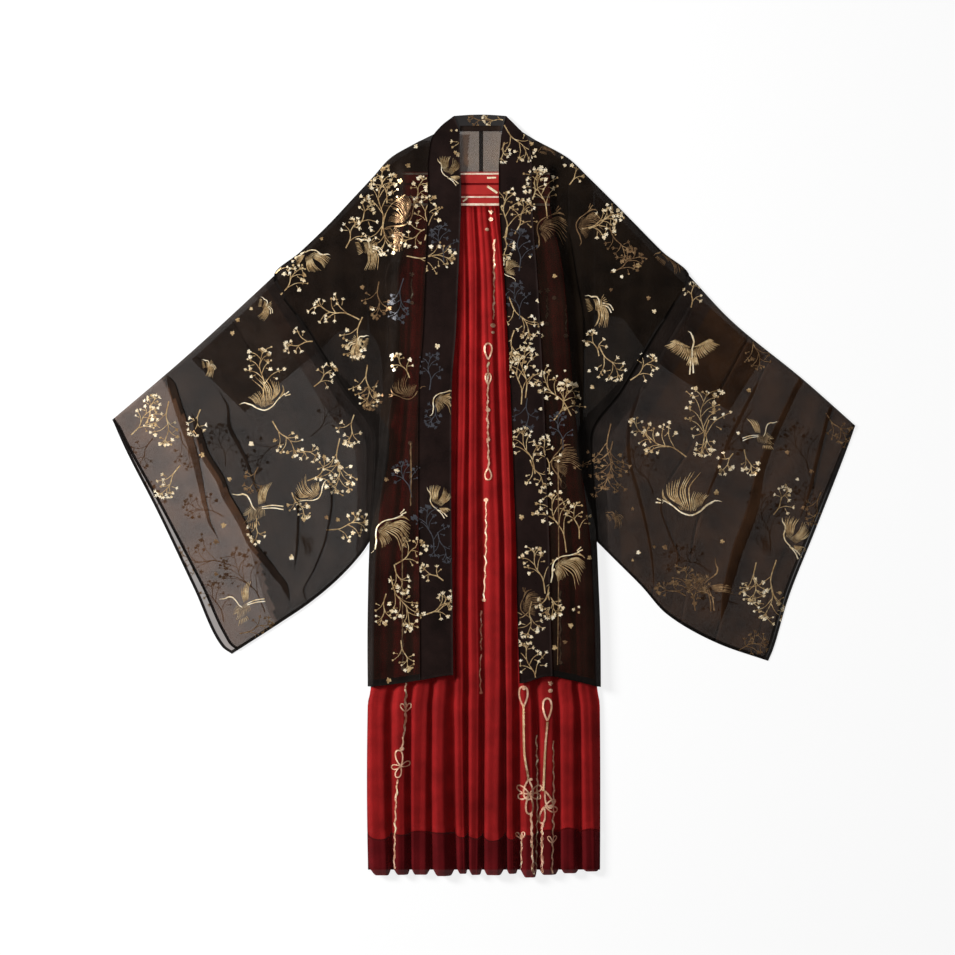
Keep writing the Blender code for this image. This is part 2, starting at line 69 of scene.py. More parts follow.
Section = namedtuple("Section", "y left_edge left_open right_open right_edge")
BODY = [
    Section(0.656, -0.118, -0.0447, 0.0315, 0.098),
    Section(0.624, -0.173, -0.0440, 0.0280, 0.156),
    Section(0.591, -0.203, -0.0425, 0.0275, 0.191),
    Section(0.547, -0.244, -0.0415, 0.0275, 0.2355),
    Section(0.502, -0.286, -0.0430, 0.0300, 0.280),
    Section(0.450, -0.340, -0.0450, 0.0340, 0.3315),
    Section(0.406, -0.388, -0.0470, 0.0375, 0.380),
    Section(0.300, -0.322, -0.0515, 0.0435, 0.316),
    Section(0.200, -0.259, -0.0590, 0.0485, 0.256),
    Section(0.105, -0.200, -0.0600, 0.0525, 0.197),
    Section(0.000, -0.204, -0.0600, 0.0560, 0.203),
    Section(-0.085, -0.211, -0.0590, 0.0595, 0.209),
    Section(-0.155, -0.2135, -0.0580, 0.0605, 0.212),
    Section(-0.269, -0.215, -0.0570, 0.0630, 0.216),
    Section(-0.335, -0.2145, -0.0565, 0.0655, 0.2165),
]
ROBE_HEM = [(-0.215, -0.353), (-0.169, -0.348), (-0.116, -0.340), (-0.057, -0.331), (0.065, -0.346),
            (0.119, -0.333), (0.165, -0.341), (0.2165, -0.354)]

SLEEVES = {
    -1: {
        "over": [(-0.388, 0.406), (-0.419, 0.377), (-0.549, 0.258), (-0.687, 0.140)],
        "cuff": [(-0.687, 0.140), (-0.663, 0.086), (-0.603, -0.031), (-0.536, -0.172), (-0.484, -0.280),
                 (-0.466, -0.293)],
        "under": [(-0.211, -0.085), (-0.226, -0.107), (-0.269, -0.154), (-0.320, -0.197),
                  (-0.379, -0.237), (-0.466, -0.293)],
        "join": [(row.left_edge, row.y) for row in BODY if UNDERARM_Y <= row.y <= SEAM_TOP_Y],
    },
    1: {
        "over": [(0.380, 0.406), (0.457, 0.324), (0.591, 0.214), (0.687, 0.129)],
        "cuff": [(0.687, 0.129), (0.678, 0.103), (0.614, -0.062), (0.563, -0.191), (0.535, -0.285),
                 (0.526, -0.306)],
        "under": [(0.209, -0.085), (0.246, -0.122), (0.292, -0.168), (0.338, -0.219), (0.434, -0.274),
                  (0.526, -0.306)],
        "join": [(row.right_edge, row.y) for row in BODY if UNDERARM_Y <= row.y <= SEAM_TOP_Y],
    },
}

InnerSection = namedtuple("InnerSection", "y left_edge right_edge")
INNER_BODY = [
    InnerSection(0.645, -0.122, 0.104),
    InnerSection(0.616, -0.166, 0.150),
    InnerSection(0.568, -0.212, 0.202),
    InnerSection(0.400, -0.2145, 0.2045),
    InnerSection(0.305, -0.2120, 0.2030),
    InnerSection(0.280, -0.1950, 0.1880),
    InnerSection(0.240, -0.1880, 0.1830),
    InnerSection(0.165, -0.1860, 0.1820),
]
INNER_HEM_Y = 0.165
NECK_OPENING = (-0.044, 0.031)  # its sides at the back of the neck
INNER_NECK_Y = 0.6735
INNER_COLLAR_HEIGHT = 0.0103
INNER_COLLAR_TOP_Y = 0.650
NECK_LIGHT_Y = 0.585  # above this the two backs show in the neck ...
NECK_HALF = 0.046  # ... this far on each side of the seam down the back
NECK_SHADE_TOP_Y = 0.664  # below this ...
NECK_SHADE_X = -0.028  # ... and left of this the inner top is in shade
CENTRE_SEAM = 0.0037  # half the width of the seam down the back
INNER_OPEN = {-1: -0.050, 1: 0.038}
INNER_COLLAR_WIDTH = 0.030
INNER_SLEEVES = {
    -1: {"over": [(-0.2150, 0.562), (-0.370, 0.408), (-0.540, 0.251)],
         "under": [(-0.2150, 0.306), (-0.256, 0.306), (-0.303, 0.269), (-0.358, 0.223), (-0.442, 0.154)]},
    1: {"over": [(0.2050, 0.560), (0.362, 0.400), (0.518, 0.258)],
        "under": [(0.2050, 0.333), (0.250, 0.330), (0.287, 0.286), (0.315, 0.2525), (0.383, 0.203),
                  (0.4535, 0.156)]},
}

SkirtSection = namedtuple("SkirtSection", "y left right")
SKIRT = [
    SkirtSection(0.534, -0.150, 0.122),
    SkirtSection(0.400, -0.160, 0.148),
    SkirtSection(0.180, -0.172, 0.166),
    SkirtSection(0.000, -0.190, 0.187),
    SkirtSection(-0.085, -0.198, 0.197),
    SkirtSection(-0.200, -0.205, 0.204),
    SkirtSection(-0.358, -0.2085, 0.2095),
    SkirtSection(-0.385, -0.2145, 0.2145),
    SkirtSection(-0.530, -0.2160, 0.2155),
    SkirtSection(-0.705, -0.2140, 0.2150),
]
SKIRT_TOP_Y = 0.534
BAND_TOP_Y = 0.598
LINING_HEM_Y = -0.622
VALLEY_HEM_Y = -0.688

Pleat = namedtuple("Pleat", "top_width hem_width top_rise hem_rise hem_y")
PLEATS = [
    Pleat(0.024, 0.045, 0.0020, 0.0090, -0.701),
    Pleat(0.024, 0.035, 0.0024, 0.0105, -0.700),
    Pleat(0.024, 0.039, 0.0026, 0.0090, -0.700),
    Pleat(0.021, 0.046, 0.0030, 0.0130, -0.702),
    Pleat(0.020, 0.022, 0.0034, 0.0100, -0.698),
    Pleat(0.021, 0.028, 0.0036, 0.0120, -0.700),
    Pleat(0.022, 0.043, 0.0038, 0.0140, -0.700),
    Pleat(0.018, 0.024, 0.0036, 0.0105, -0.698),
    Pleat(0.019, 0.036, 0.0034, 0.0135, -0.7045),
    Pleat(0.022, 0.042, 0.0030, 0.0120, -0.700),
    Pleat(0.024, 0.038, 0.0024, 0.0105, -0.697),
    Pleat(0.027, 0.037, 0.0020, 0.0090, -0.694),
]

Strip = namedtuple("Strip", "low high layer")
TIES = {"skirt_tie_upper": Strip(0.5770, 0.5955, 1), "skirt_tie_lower": Strip(0.5560, 0.5735, 1)}
BRAIDS = {
    "skirt_braid_top": Strip(0.5925, 0.5955, 2),
    "skirt_braid_middle": Strip(0.5500, 0.5525, 1),
    "skirt_braid_bottom": Strip(0.5355, 0.5395, 1),
}

# ---- curves and grids ---------------------------------------------------------------------------


def between(a, b, share):
    return a + (b - a) * share


def ramp(value, start, end):
    """0 before start, 1 after end."""
    return np.clip((value - start) / (end - start), 0.0, 1.0)


def ease(value, start, end):
    """As ramp, with soft ends."""
    share = ramp(value, start, end)
    return share * share * (3.0 - 2.0 * share)


def bell(distance, width):
    return np.exp(-((distance / width) ** 2))


def through(xs, ys, at):
    """A smooth curve through points that never swings past them; xs rise."""
    xs, ys, at = (np.asarray(values, float) for values in (xs, ys, at))
    slopes = np.diff(ys) / np.diff(xs)
    tangents = np.empty(len(xs))
    tangents[0], tangents[-1] = slopes[0], slopes[-1]
    product = slopes[:-1] * slopes[1:]
    total = slopes[:-1] + slopes[1:]
    tangents[1:-1] = np.where(product > 0, 2 * product / np.where(product > 0, total, 1.0), 0.0)
    k = np.clip(np.searchsorted(xs, at, side="right") - 1, 0, len(xs) - 2)
    width = xs[k + 1] - xs[k]
    t = np.clip((at - xs[k]) / width, 0.0, 1.0)
    rise = t * t * (3 - 2 * t)
    start = t * (1 - t) ** 2 * width * tangents[k]
    end = t * t * (t - 1) * width * tangents[k + 1]
    return ys[k] + rise * (ys[k + 1] - ys[k]) + start + end


def column(table, name, y):
    """A table's column at a height, smooth between its rows, which run downwards."""
    return through([-row.y for row in table], [getattr(row, name) for row in table], -np.asarray(y, float))


def along(points, share):
    """The points at shares of a smooth line's length."""
    points = np.asarray(points, float)
    steps = np.hypot(*np.diff(points, axis=0).T)
    lengths = np.concatenate([[0.0], np.cumsum(steps)]) / steps.sum()
    return through(lengths, points[:, 0], share), through(lengths, points[:, 1], share)


def patch(edges, s, t):
    """Points of the patch between four edges: s from join to cuff, t from over to under."""
    over, under = along(edges["over"], s), along(edges["under"], s)
    join, cuff = along(edges["join"], t), along(edges["cuff"], t)
    corners = edges["over"][0], edges["over"][-1], edges["under"][0], edges["under"][-1]
    point = []
    for axis in (0, 1):
        top = between(corners[0][axis], corners[1][axis], s)
        bottom = between(corners[2][axis], corners[3][axis], s)
        point.append(between(join[axis], cuff[axis], s) + between(over[axis], under[axis], t)
                     - between(top, bottom, t))
    return point


# A tuck is a fold pressed flat: the cloth doubles back under itself, so three layers lie in a band.
# Rows: how far down the piece, how far across, and the band's width in metres.
Tuck = namedtuple("Tuck", "rows lift top")
TUCK_COLUMNS = 13
TUCK_REACH = 0.022  # how far from a tuck the cloth is still lifted by it


def spread_columns(tucks, t, columns, length, border=0.0):
    """How far across each column of one row lies, and how much the tucks lift it.

    border is the width of the seam or hem along both ends, which gets columns of its own.
    """
    stops, widths = [0.0], [0.0]
    for tuck in tucks:
        downs, acrosses, bands = zip(*tuck.rows)
        stops.append(float(through(downs, acrosses, t)))
        inside = downs[0] <= t <= downs[-1]
        widths.append(float(through(downs, bands, t)) / length if inside else 0.0)
    stops.append(1.0)
    widths.append(0.0)
    shares, lifts = [], []
    for k, count in enumerate(columns):
        start, end = stops[k] + widths[k] / 2, stops[k + 1] - widths[k + 1] / 2
        if border and k == 0:
            run = np.append(0.0, np.linspace(border / length, end, count))
        elif border and k == len(columns) - 1:
            run = np.append(np.linspace(start, 1.0 - border / length, count), 1.0)
        else:
            run = np.linspace(start, end, count)
        shares.append(run[1:-1] if 0 < k < len(columns) - 1 else (run[:-1] if k == 0 else run[1:]))
        lifts.append(np.zeros(len(shares[-1])))
        if k < len(tucks):
            tau = np.linspace(0.0, 1.0, TUCK_COLUMNS)
            side = tucks[k].top
            shares.append(stops[k + 1] - widths[k + 1] / 2 * np.cos(3 * np.pi * tau))
            share = 1 - tau if side < 0 else tau
            lifts.append(2 * tucks[k].lift * share * ramp(widths[k + 1] * length, 0.0, 0.004))
    across, lift = np.concatenate(shares), np.concatenate(lifts)
    for k, tuck in enumerate(tucks):
        edge = stops[k + 1] + tuck.top * widths[k + 1] / 2
        away = (across - edge) * tuck.top * length
        near = np.where(away > 0, bell(away, TUCK_REACH), 0.0)
        lift += 2 * tuck.lift * near * ramp(widths[k + 1] * length, 0.0, 0.004) * (lift == 0)
    return across, lift


# ---- shells -------------------------------------------------------------------------------------


def grid_normals(grid):
    down = np.gradient(grid, axis=0)
    across = np.gradient(grid, axis=1)
    normals = np.cross(across, down)
    lengths = np.linalg.norm(normals, axis=2, keepdims=True)
    return normals / np.maximum(lengths, 1e-12)


def new_object(name, points, faces, finish, flat_from=None):
    """A mesh object; faces from number flat_from on keep hard edges."""
    mesh = bpy.data.meshes.new(name)
    mesh.from_pydata([tuple(p) for p in points], [], [tuple(f) for f in faces])
    smooth = np.ones(len(mesh.polygons), bool)
    if flat_from is not None:
        smooth[flat_from:] = False
    mesh.polygons.foreach_set("use_smooth", smooth)
    mesh.materials.append(finish)
    mesh.update()
    made = bpy.data.objects.new(name, mesh)
    bpy.context.scene.collection.objects.link(made)
    return made


def shell(name, grid, thickness, finish, others=(), zone=None):
    """A closed thin cloth around a grid of points, which runs down and then across.

    zone numbers the finish of each cell of the grid: 0 for finish, then those in others.
    """
    tall, wide = grid.shape[:2]
    normals = grid_normals(grid)
    if normals[..., 2].mean() < 0:
        normals = -normals
    over = (grid + normals * thickness / 2).reshape(-1, 3)
    under = (grid - normals * thickness / 2).reshape(-1, 3)
    number = np.arange(tall * wide).reshape(tall, wide)
    a, b, c, d = number[:-1, :-1], number[:-1, 1:], number[1:, 1:], number[1:, :-1]
    quads = np.stack([a, b, c, d], axis=-1).reshape(-1, 4)
    rim = np.concatenate([number[0, :], number[1:, -1], number[-1, -2::-1], number[-2:0:-1, 0]])
    after = np.roll(rim, -1)
    count = tall * wide
    walls = np.stack([rim, rim + count, after + count, after], axis=-1)
    flip = np.cross(grid[0, 1] - grid[0, 0], grid[1, 0] - grid[0, 0])[2] > 0
    tops, bottoms = quads[:, ::-1], quads + count
    if flip:
        tops, bottoms, walls = quads, (quads + count)[:, ::-1], walls[:, ::-1]
    faces = np.concatenate([tops, bottoms, walls])
    made = new_object(name, np.concatenate([over, under]), faces, finish, 2 * len(quads))
    for other in others:
        made.data.materials.append(other)
    if zone is not None:
        cells = np.asarray(zone, int).ravel()
        rim_cells = np.concatenate([zone[0, :], zone[:, -1], zone[-1, ::-1], zone[::-1, 0]]).astype(int)
        made.data.polygons.foreach_set("material_index", np.concatenate([cells, cells, rim_cells]))
    return made


def piece(made, replaces=()):
    """A finished piece: what it rides on and the CAD it stands for."""
    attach(made, "root")
    if replaces:
        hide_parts(*replaces)
    return made


# ---- materials ----------------------------------------------------------------------------------


class Nodes:
    """A material's nodes, added and linked one at a time."""

    def __init__(self, name):
        self.material = bpy.data.materials.new(name)
        self.material.use_nodes = True
        self.tree = self.material.node_tree
        self.shader = self.tree.nodes["Principled BSDF"]
        self.coordinates = self.tree.nodes.new("ShaderNodeTexCoord").outputs["Object"]

    def add(self, kind, inputs=(), **settings):
        node = self.tree.nodes.new(kind)
        for key, value in settings.items():
            setattr(node, key, value)
        for key, value in dict(inputs).items():
            if isinstance(value, bpy.types.NodeSocket):
                self.tree.links.new(value, node.inputs[key])
            else:
                node.inputs[key].default_value = value
        return node

    def noise(self, scale, detail=3.0, roughness=0.55):
        inputs = {"Vector": self.coordinates, "Scale": scale, "Detail": detail, "Roughness": roughness}
        return self.add("ShaderNodeTexNoise", inputs).outputs["Fac"]

    def ramp(self, value, stops):
        node = self.add("ShaderNodeValToRGB", {"Fac": value})
        elements = node.color_ramp.elements
        while len(elements) < len(stops):
            elements.new(0.5)
        for element, (place, colour) in zip(elements, stops):
            element.position = place
            element.color = (*colour, 1.0)
        return node.outputs["Color"]

    def scaled(self, value, low, high):
        inputs = {"Value": value, "From Min": 0.25, "From Max": 0.75, "To Min": low, "To Max": high}
        return self.add("ShaderNodeMapRange", inputs).outputs["Result"]

    def bump(self, height, strength, distance, normal=None):
        inputs = {"Height": height, "Strength": strength, "Distance": distance}
        if normal is not None:
            inputs["Normal"] = normal
        return self.add("ShaderNodeBump", inputs).outputs["Normal"]

    def join(self, socket, name):
        self.tree.links.new(socket, self.shader.inputs[name])

    def set(self, **values):
        for key, value in values.items():
            self.shader.inputs[key.replace("_", " ")].default_value = value


def times(colour, factor):
    return tuple(min(1.0, c * factor) for c in colour)


def cloth_material(name, colour, alpha=1.0, roughness=(0.6, 0.85), thread=0.0008, crinkle=(90.0, 0.35),
                   sheen=0.15, patch_scale=22.0, spread=(0.75, 1.25), gloss=0.12, painted_shading=None):
    """Plain-woven cloth: threads both ways, a crinkle, and a colour that varies a little.

    The last argument is painted light and shade: two heights on the garment and how much lighter or darker
    the colour is at each.
    """
    n = Nodes(name)
    patches = n.noise(patch_scale, detail=4.0)
    tint = n.ramp(patches, [(0.3, times(colour, spread[0])), (0.7, times(colour, spread[1]))])
    # painted light and shade: the colour is scaled by the height on the garment
    if painted_shading:
        height = n.add("ShaderNodeSeparateXYZ", {"Vector": n.coordinates}).outputs["Y"]
        limits = dict(zip(("From Min", "From Max", "To Min", "To Max"), painted_shading))
        amount = n.add("ShaderNodeMapRange", {"Value": height, **limits}).outputs["Result"]
        tint = n.add("ShaderNodeVectorMath", {"Vector": tint, "Scale": amount},
                     operation="SCALE").outputs["Vector"]
    n.join(tint, "Base Color")
    n.join(n.scaled(n.noise(140.0, detail=2.0), *roughness), "Roughness")
    bands = 2 * math.pi / (20 * thread)
    threads = [
        n.add("ShaderNodeTexWave", {"Vector": n.coordinates, "Scale": bands, "Distortion": 0.6,
                                    "Detail": 1.0}, bands_direction=way).outputs["Fac"]
        for way in ("X", "Y")
    ]
    weave = n.add("ShaderNodeMath", {0: threads[0], 1: threads[1]}, operation="MULTIPLY").outputs["Value"]
    scale, strength = crinkle
    coarse = n.bump(n.noise(scale, detail=5.0), strength, 0.0012)
    n.join(n.bump(weave, 0.25, 0.00015, coarse), "Normal")
    n.set(Alpha=alpha, Sheen_Weight=sheen, Sheen_Roughness=0.4, Specular_IOR_Level=gloss)
    n.material.use_backface_culling = False
    return n.material


def foil_material(name, stops, metallic=0.75, roughness=(0.25, 0.6)):
    n = Nodes(name)
    # a noise picks each spot's colour along the ramp: its pale end is painted glints and highlights, the
    # rest the foil's own patchy tone
    shade = n.noise(95.0, detail=6.0, roughness=0.75)
    n.join(n.ramp(shade, stops), "Base Color")
    n.join(n.scaled(n.noise(300.0), *roughness), "Roughness")
    n.join(n.bump(n.noise(450.0, detail=4.0), 0.6, 0.0006), "Normal")
    n.set(Metallic=metallic)
    return n.material


def chiffon(name, alpha, colour, spread=(0.55, 1.45)):
    return cloth_material(name, colour, alpha=alpha, roughness=(0.55, 0.8), sheen=0.03, spread=spread,
                          gloss=0.05)


CHIFFON_LIGHT = chiffon("black_chiffon_light", 0.42, (0.085, 0.040, 0.020))
CHIFFON = chiffon("black_chiffon", 0.56, (0.022, 0.013, 0.0085))
# painted shade: a denser, darker copy of the chiffon for the right sleeve
CHIFFON_SHADED = chiffon("black_chiffon_deep", 0.63, (0.032, 0.014, 0.006))
# a denser, darker chiffon for the sleeves next to the body
CHIFFON_BY_JOIN = chiffon("black_chiffon_gathered", 0.72, (0.014, 0.009, 0.007))
# the robe's back, and painted shade along the fronts' edges beside the skirt
CHIFFON_BACK_AND_EDGE_SHADE = chiffon("black_chiffon_back", 0.80, (0.014, 0.009, 0.007))
# real seams and hems, and painted shade by the robe's armholes
CHIFFON_SEAM_AND_SHADE = chiffon("black_chiffon_seam", 0.90, (0.007, 0.005, 0.004))
CHIFFON_DOUBLE = chiffon("black_chiffon_double", 0.97, (0.012, 0.006, 0.005))
# one chiffon for both fronts; the right one is a denser, darker copy of the left, as painted shade
CHIFFON_FRONT = {-1: chiffon("black_chiffon_front_left", 0.50, (0.014, 0.008, 0.005)),
                 1: chiffon("black_chiffon_front_right", 0.56, (0.012, 0.007, 0.004))}
CHIFFON_NEAR = chiffon("black_chiffon_near", 0.64, (0.022, 0.012, 0.008))
NECK_BAND = chiffon("black_chiffon_neck", 0.86, (0.016, 0.013, 0.012))
INNER = chiffon("black_inner_chiffon", 0.40, (0.018, 0.011, 0.008))
INNER_NECK = chiffon("black_inner_chiffon_neck", 0.35, (0.130, 0.066, 0.020))
INNER_SHADE = chiffon("black_inner_chiffon_shade", 0.61, (0.080, 0.030, 0.005))
INNER_SEAM = chiffon("black_inner_chiffon_seam", 0.50, (0.020, 0.016, 0.014))
RED_SHEER = cloth_material("red_sheer", (0.16, 0.008, 0.009), alpha=0.24, sheen=0.05, gloss=0.05)
RED_HEM = cloth_material("red_sheer_hem", (0.098, 0.0045, 0.006), alpha=0.88, sheen=0.03, gloss=0.04)
RED_BACK = cloth_material("red_sheer_back", (0.085, 0.0045, 0.0055), alpha=0.93, sheen=0.05, gloss=0.05)
# painted light and shade: the lining is darkened towards its hem and lightened towards the top
RED_LINING = cloth_material("red_lining", (0.50, 0.017, 0.017), sheen=0.05, roughness=(0.5, 0.7),
                            gloss=0.07, painted_shading=(-0.62, 0.35, 0.86, 1.32))
RED_BAND = cloth_material("red_band", (0.38, 0.022, 0.019), sheen=0.1, roughness=(0.45, 0.65))
# painted shadow, for the line between the two turns of the tie
RED_PAINTED_SHADOW = cloth_material("red_fold", (0.11, 0.002, 0.004), sheen=0.0, gloss=0.04)
# The bright, gold and copper ramps run up to near white cream: their pale ends are painted glints and
# highlights, the darker stops the foil's own tone.
BRIGHT_STOPS = [(0.30, (0.34, 0.21, 0.09)), (0.42, (0.70, 0.52, 0.28)), (0.55, (0.98, 0.84, 0.60)),
                (0.68, (1.0, 0.95, 0.82))]
GOLD_STOPS = [(0.30, (0.16, 0.09, 0.035)), (0.45, (0.40, 0.25, 0.11)), (0.60, (0.70, 0.52, 0.28)),
              (0.75, (0.95, 0.82, 0.58))]
DIM_STOPS = [(0.30, (0.05, 0.025, 0.012)), (0.50, (0.18, 0.10, 0.045)), (0.75, (0.50, 0.33, 0.16))]
COPPER_STOPS = [(0.30, (0.34, 0.14, 0.08)), (0.45, (0.62, 0.32, 0.19)), (0.60, (0.86, 0.55, 0.38)),
                (0.75, (0.98, 0.78, 0.62))]
BEHIND_STOPS = [(0.30, (0.010, 0.010, 0.014)), (0.55, (0.035, 0.036, 0.046)), (0.75, (0.10, 0.10, 0.12))]
FOIL_TONES = [foil_material("foil_bright", BRIGHT_STOPS, metallic=0.35),
              foil_material("foil_gold", GOLD_STOPS), foil_material("foil_dim", DIM_STOPS),
              foil_material("foil_behind", BEHIND_STOPS, metallic=0.2),
              foil_material("foil_copper", COPPER_STOPS, metallic=0.35)]
# The braid's pink gold ramp has the same painted glints at its pale end.
BRAID_STOPS = [(0.30, (0.66, 0.34, 0.22)), (0.42, (0.86, 0.55, 0.40)), (0.55, (0.98, 0.80, 0.64)),
               (0.68, (1.0, 0.93, 0.82))]
BRAID = foil_material("gold_braid", BRAID_STOPS, metallic=0.3)

# ---- the skirt ----------------------------------------------------------------------------------


def skirt_floor(y):
    """What the skirt's back lies on: the inner top and the robe's back, then the bare surface."""
    return 2 * STEP * ease(y, 0.140, 0.172) + STEP * ease(y, -0.385, -0.350)


def skirt_down(y):
    return ramp(-y, -SKIRT_TOP_Y, 0.700)


def pleat_rise(pleat, y):
    return between(pleat.top_rise, pleat.hem_rise, skirt_down(y) ** 0.8)


def tallest_pleat(y):
    return np.max([pleat_rise(pleat, y) for pleat in PLEATS], axis=0)


PLEAT_FALL = (0.70, 0.56, 0.74, 0.52, 0.66, 0.58, 0.72, 0.55, 0.64, 0.50, 0.72, 0.60)
PLEAT_RISE = (0.24, 0.30, 0.20, 0.34, 0.26, 0.22, 0.30, 0.24, 0.34, 0.26, 0.22, 0.28)
CREASE = 0.0009  # a smaller crease down the middle of each pleat
LINING_DIP = (-0.012, -0.003, 0.004, 0.001, -0.008, -0.010, -0.014, -0.012, -0.004, 0.006, 0.010, 0.008)
DEEPER = 1.30  # the folds stand higher below the robe, where nothing lies on them


def pleat_profile(k, p, down):
    """Height across pleat k: a round rise from the left, a crown and a long fall to the right."""
    crown = ease(p, 0.0, PLEAT_RISE[k]) ** 0.7 * (1.0 - ease(p, PLEAT_FALL[k], 1.0)) ** 0.9
    return crown * (0.93 + 0.07 * np.cos(5.0 * p + 2.0 * k + 3.0 * down))


def pleated(y, level, per_pleat=24, hem=None):
    """A row-by-column grid of pleated cloth at heights y; hem gives it a scalloped lower edge."""
    tops = np.cumsum([0.0] + [p.top_width for p in PLEATS])
    hems = np.cumsum([0.0] + [p.hem_width for p in PLEATS])
    tops, hems = tops / tops[-1], hems / hems[-1]
    left, right = column(SKIRT, "left", y), column(SKIRT, "right", y)
    down = skirt_down(y)
    columns = []
    for k, pleat in enumerate(PLEATS):
        last = k == len(PLEATS) - 1
        for p in np.linspace(0.0, 1.0, per_pleat + 1)[: None if last else -1]:
            wander = 0.10 * np.sin(np.pi * p) * np.sin(7.0 * down + 1.7 * k)
            place = p + wander
            share = between(between(tops[k], tops[k + 1], place), between(hems[k], hems[k + 1], place), down)
            height = pleat_profile(k, p, down)
            x = between(left, right, share)
            crease = CREASE * bell(p - 0.52, 0.07) * (1.0 - 0.5 * down)
            free = between(1.0, DEEPER, ease(-y, 0.36, 0.42))
            z = level(y) + free * height * pleat_rise(pleat, y) - crease
            end = y + LINING_DIP[k] * np.sin(np.pi * p) ** 0.5 * bell(y - LINING_HEM_Y, 0.035)
            if hem is not None:
                low = between(VALLEY_HEM_Y, pleat.hem_y, ease(p, 0.0, 0.3) * (1 - ease(p, 0.8, 1.0)))
                end = end + (low - hem) * ease(y, hem + 0.06, hem)
                z = z - 0.35 * height * pleat_rise(pleat, y) * ease(y, hem + 0.012, hem)
            columns.append(np.stack([x, end, z], axis=-1))
    return np.stack(columns, axis=1)


def plain_grid(heights, edges, level, columns):
    """A grid of flat cloth from left to right edge."""
    left, right = edges(heights)
    across = np.linspace(0.0, 1.0, columns)
    x = left[:, None] + (right - left)[:, None] * across
    y = np.repeat(heights[:, None], columns, axis=1)
    return np.stack([x, y, level(x, y)], axis=-1)


def at_level(z):
    return lambda x, y: z + 0 * x


def straight(left, right):
    """Edges that run straight down."""
    return lambda y: (np.full(len(y), left), np.full(len(y), right))


def skirt_edges(y):
    return column(SKIRT, "left", y), column(SKIRT, "right", y)


HEM_Y = -0.700
LINING_Z = 2.2 * STEP + MIDDLE
SHEER_FROM_Y = LINING_HEM_Y - 0.003  # below this the outer skirt hangs without the lining


def build_skirt():
    heights = np.linspace(SKIRT_TOP_Y, -0.692, 60)
    back = plain_grid(heights, skirt_edges, lambda x, y: skirt_floor(y) + MIDDLE, 40)
    piece(shell("skirt_back_cloth", back, CLOTH, RED_BACK), ["skirt_back"])
    heights = np.linspace(SKIRT_TOP_Y, LINING_HEM_Y, 60)
    lining = plain_grid(heights, skirt_edges, lambda x, y: skirt_floor(y) + STEP + MIDDLE, 40)
    piece(shell("skirt_back_lining_cloth", lining, CLOTH, RED_LINING), ["skirt_back_lining"])
    heights = np.linspace(SKIRT_TOP_Y, LINING_HEM_Y, 70)
    lining = pleated(heights, lambda y: skirt_floor(y) + LINING_Z, per_pleat=16)
    piece(shell("skirt_front_lining_cloth", lining, CLOTH, RED_LINING), ["skirt_front_lining"])
    lined = np.linspace(SKIRT_TOP_Y, SHEER_FROM_Y, 80)
    heights = np.concatenate([lined, np.linspace(-0.64, HEM_Y, 18)])
    outer = pleated(heights, lambda y: skirt_floor(y) + LINING_Z + STEP * ease(y, -0.68, -0.60), hem=HEM_Y)
    zone = np.zeros((len(heights) - 1, outer.shape[1] - 1))
    zone[heights[1:] < SHEER_FROM_Y, :] = 1
    made = shell("skirt_front_cloth", outer, CLOTH, RED_SHEER, (RED_HEM,), zone)
    piece(made, ["skirt_front"])
    build_chest_band()


BAND_COLUMNS = 30
TIE_CROWN = 0.0004  # how far the middle of a tie or braid stands above its edges


def build_chest_band():
    band_edges = straight(SKIRT[0].left, SKIRT[0].right)
    upper, lower = TIES["skirt_tie_upper"], TIES["skirt_tie_lower"]
    above, below = np.linspace(BAND_TOP_Y, upper.low, 7), np.linspace(lower.high, SKIRT_TOP_Y, 7)
    heights = np.concatenate([above, below])
    floor = float(skirt_floor(BAND_TOP_Y))
    for name, level in (("skirt_band_back", floor), ("skirt_band_front", floor + BAND_WALL + 0.0003)):
        grid = plain_grid(heights, band_edges, at_level(level + BAND_WALL / 2), BAND_COLUMNS)
        zone = np.zeros((len(heights) - 1, BAND_COLUMNS - 1))
        zone[len(above) - 1, :] = 1  # painted shadow: the dark line between the two turns of the tie
        piece(shell(name + "_cloth", grid, BAND, RED_BAND, (RED_PAINTED_SHADOW,), zone), [name])
    face = floor + 2 * BAND_WALL + 0.0006
    for table, finish, slot in ((TIES, RED_BAND, "red_lining"), (BRAIDS, BRAID, "gold_braid")):
        for name, strip in table.items():
            level = face + (strip.layer - 1) * STEP
            rows = np.linspace(strip.high, strip.low, 9)

            def lie(x, y, level=level, strip=strip):
                middle = (strip.low + strip.high) / 2
                return level + MIDDLE + TIE_CROWN * (1 - (2 * (y - middle) / (strip.high - strip.low)) ** 2)

            grid = plain_grid(rows, band_edges, lie, BAND_COLUMNS)
            piece(shell(name + "_cloth", grid, 0.0007, finish), [name])


# ---- the inner top ------------------------------------------------------------------------------


def inner_edges(y):
    return column(INNER_BODY, "left_edge", y), column(INNER_BODY, "right_edge", y)


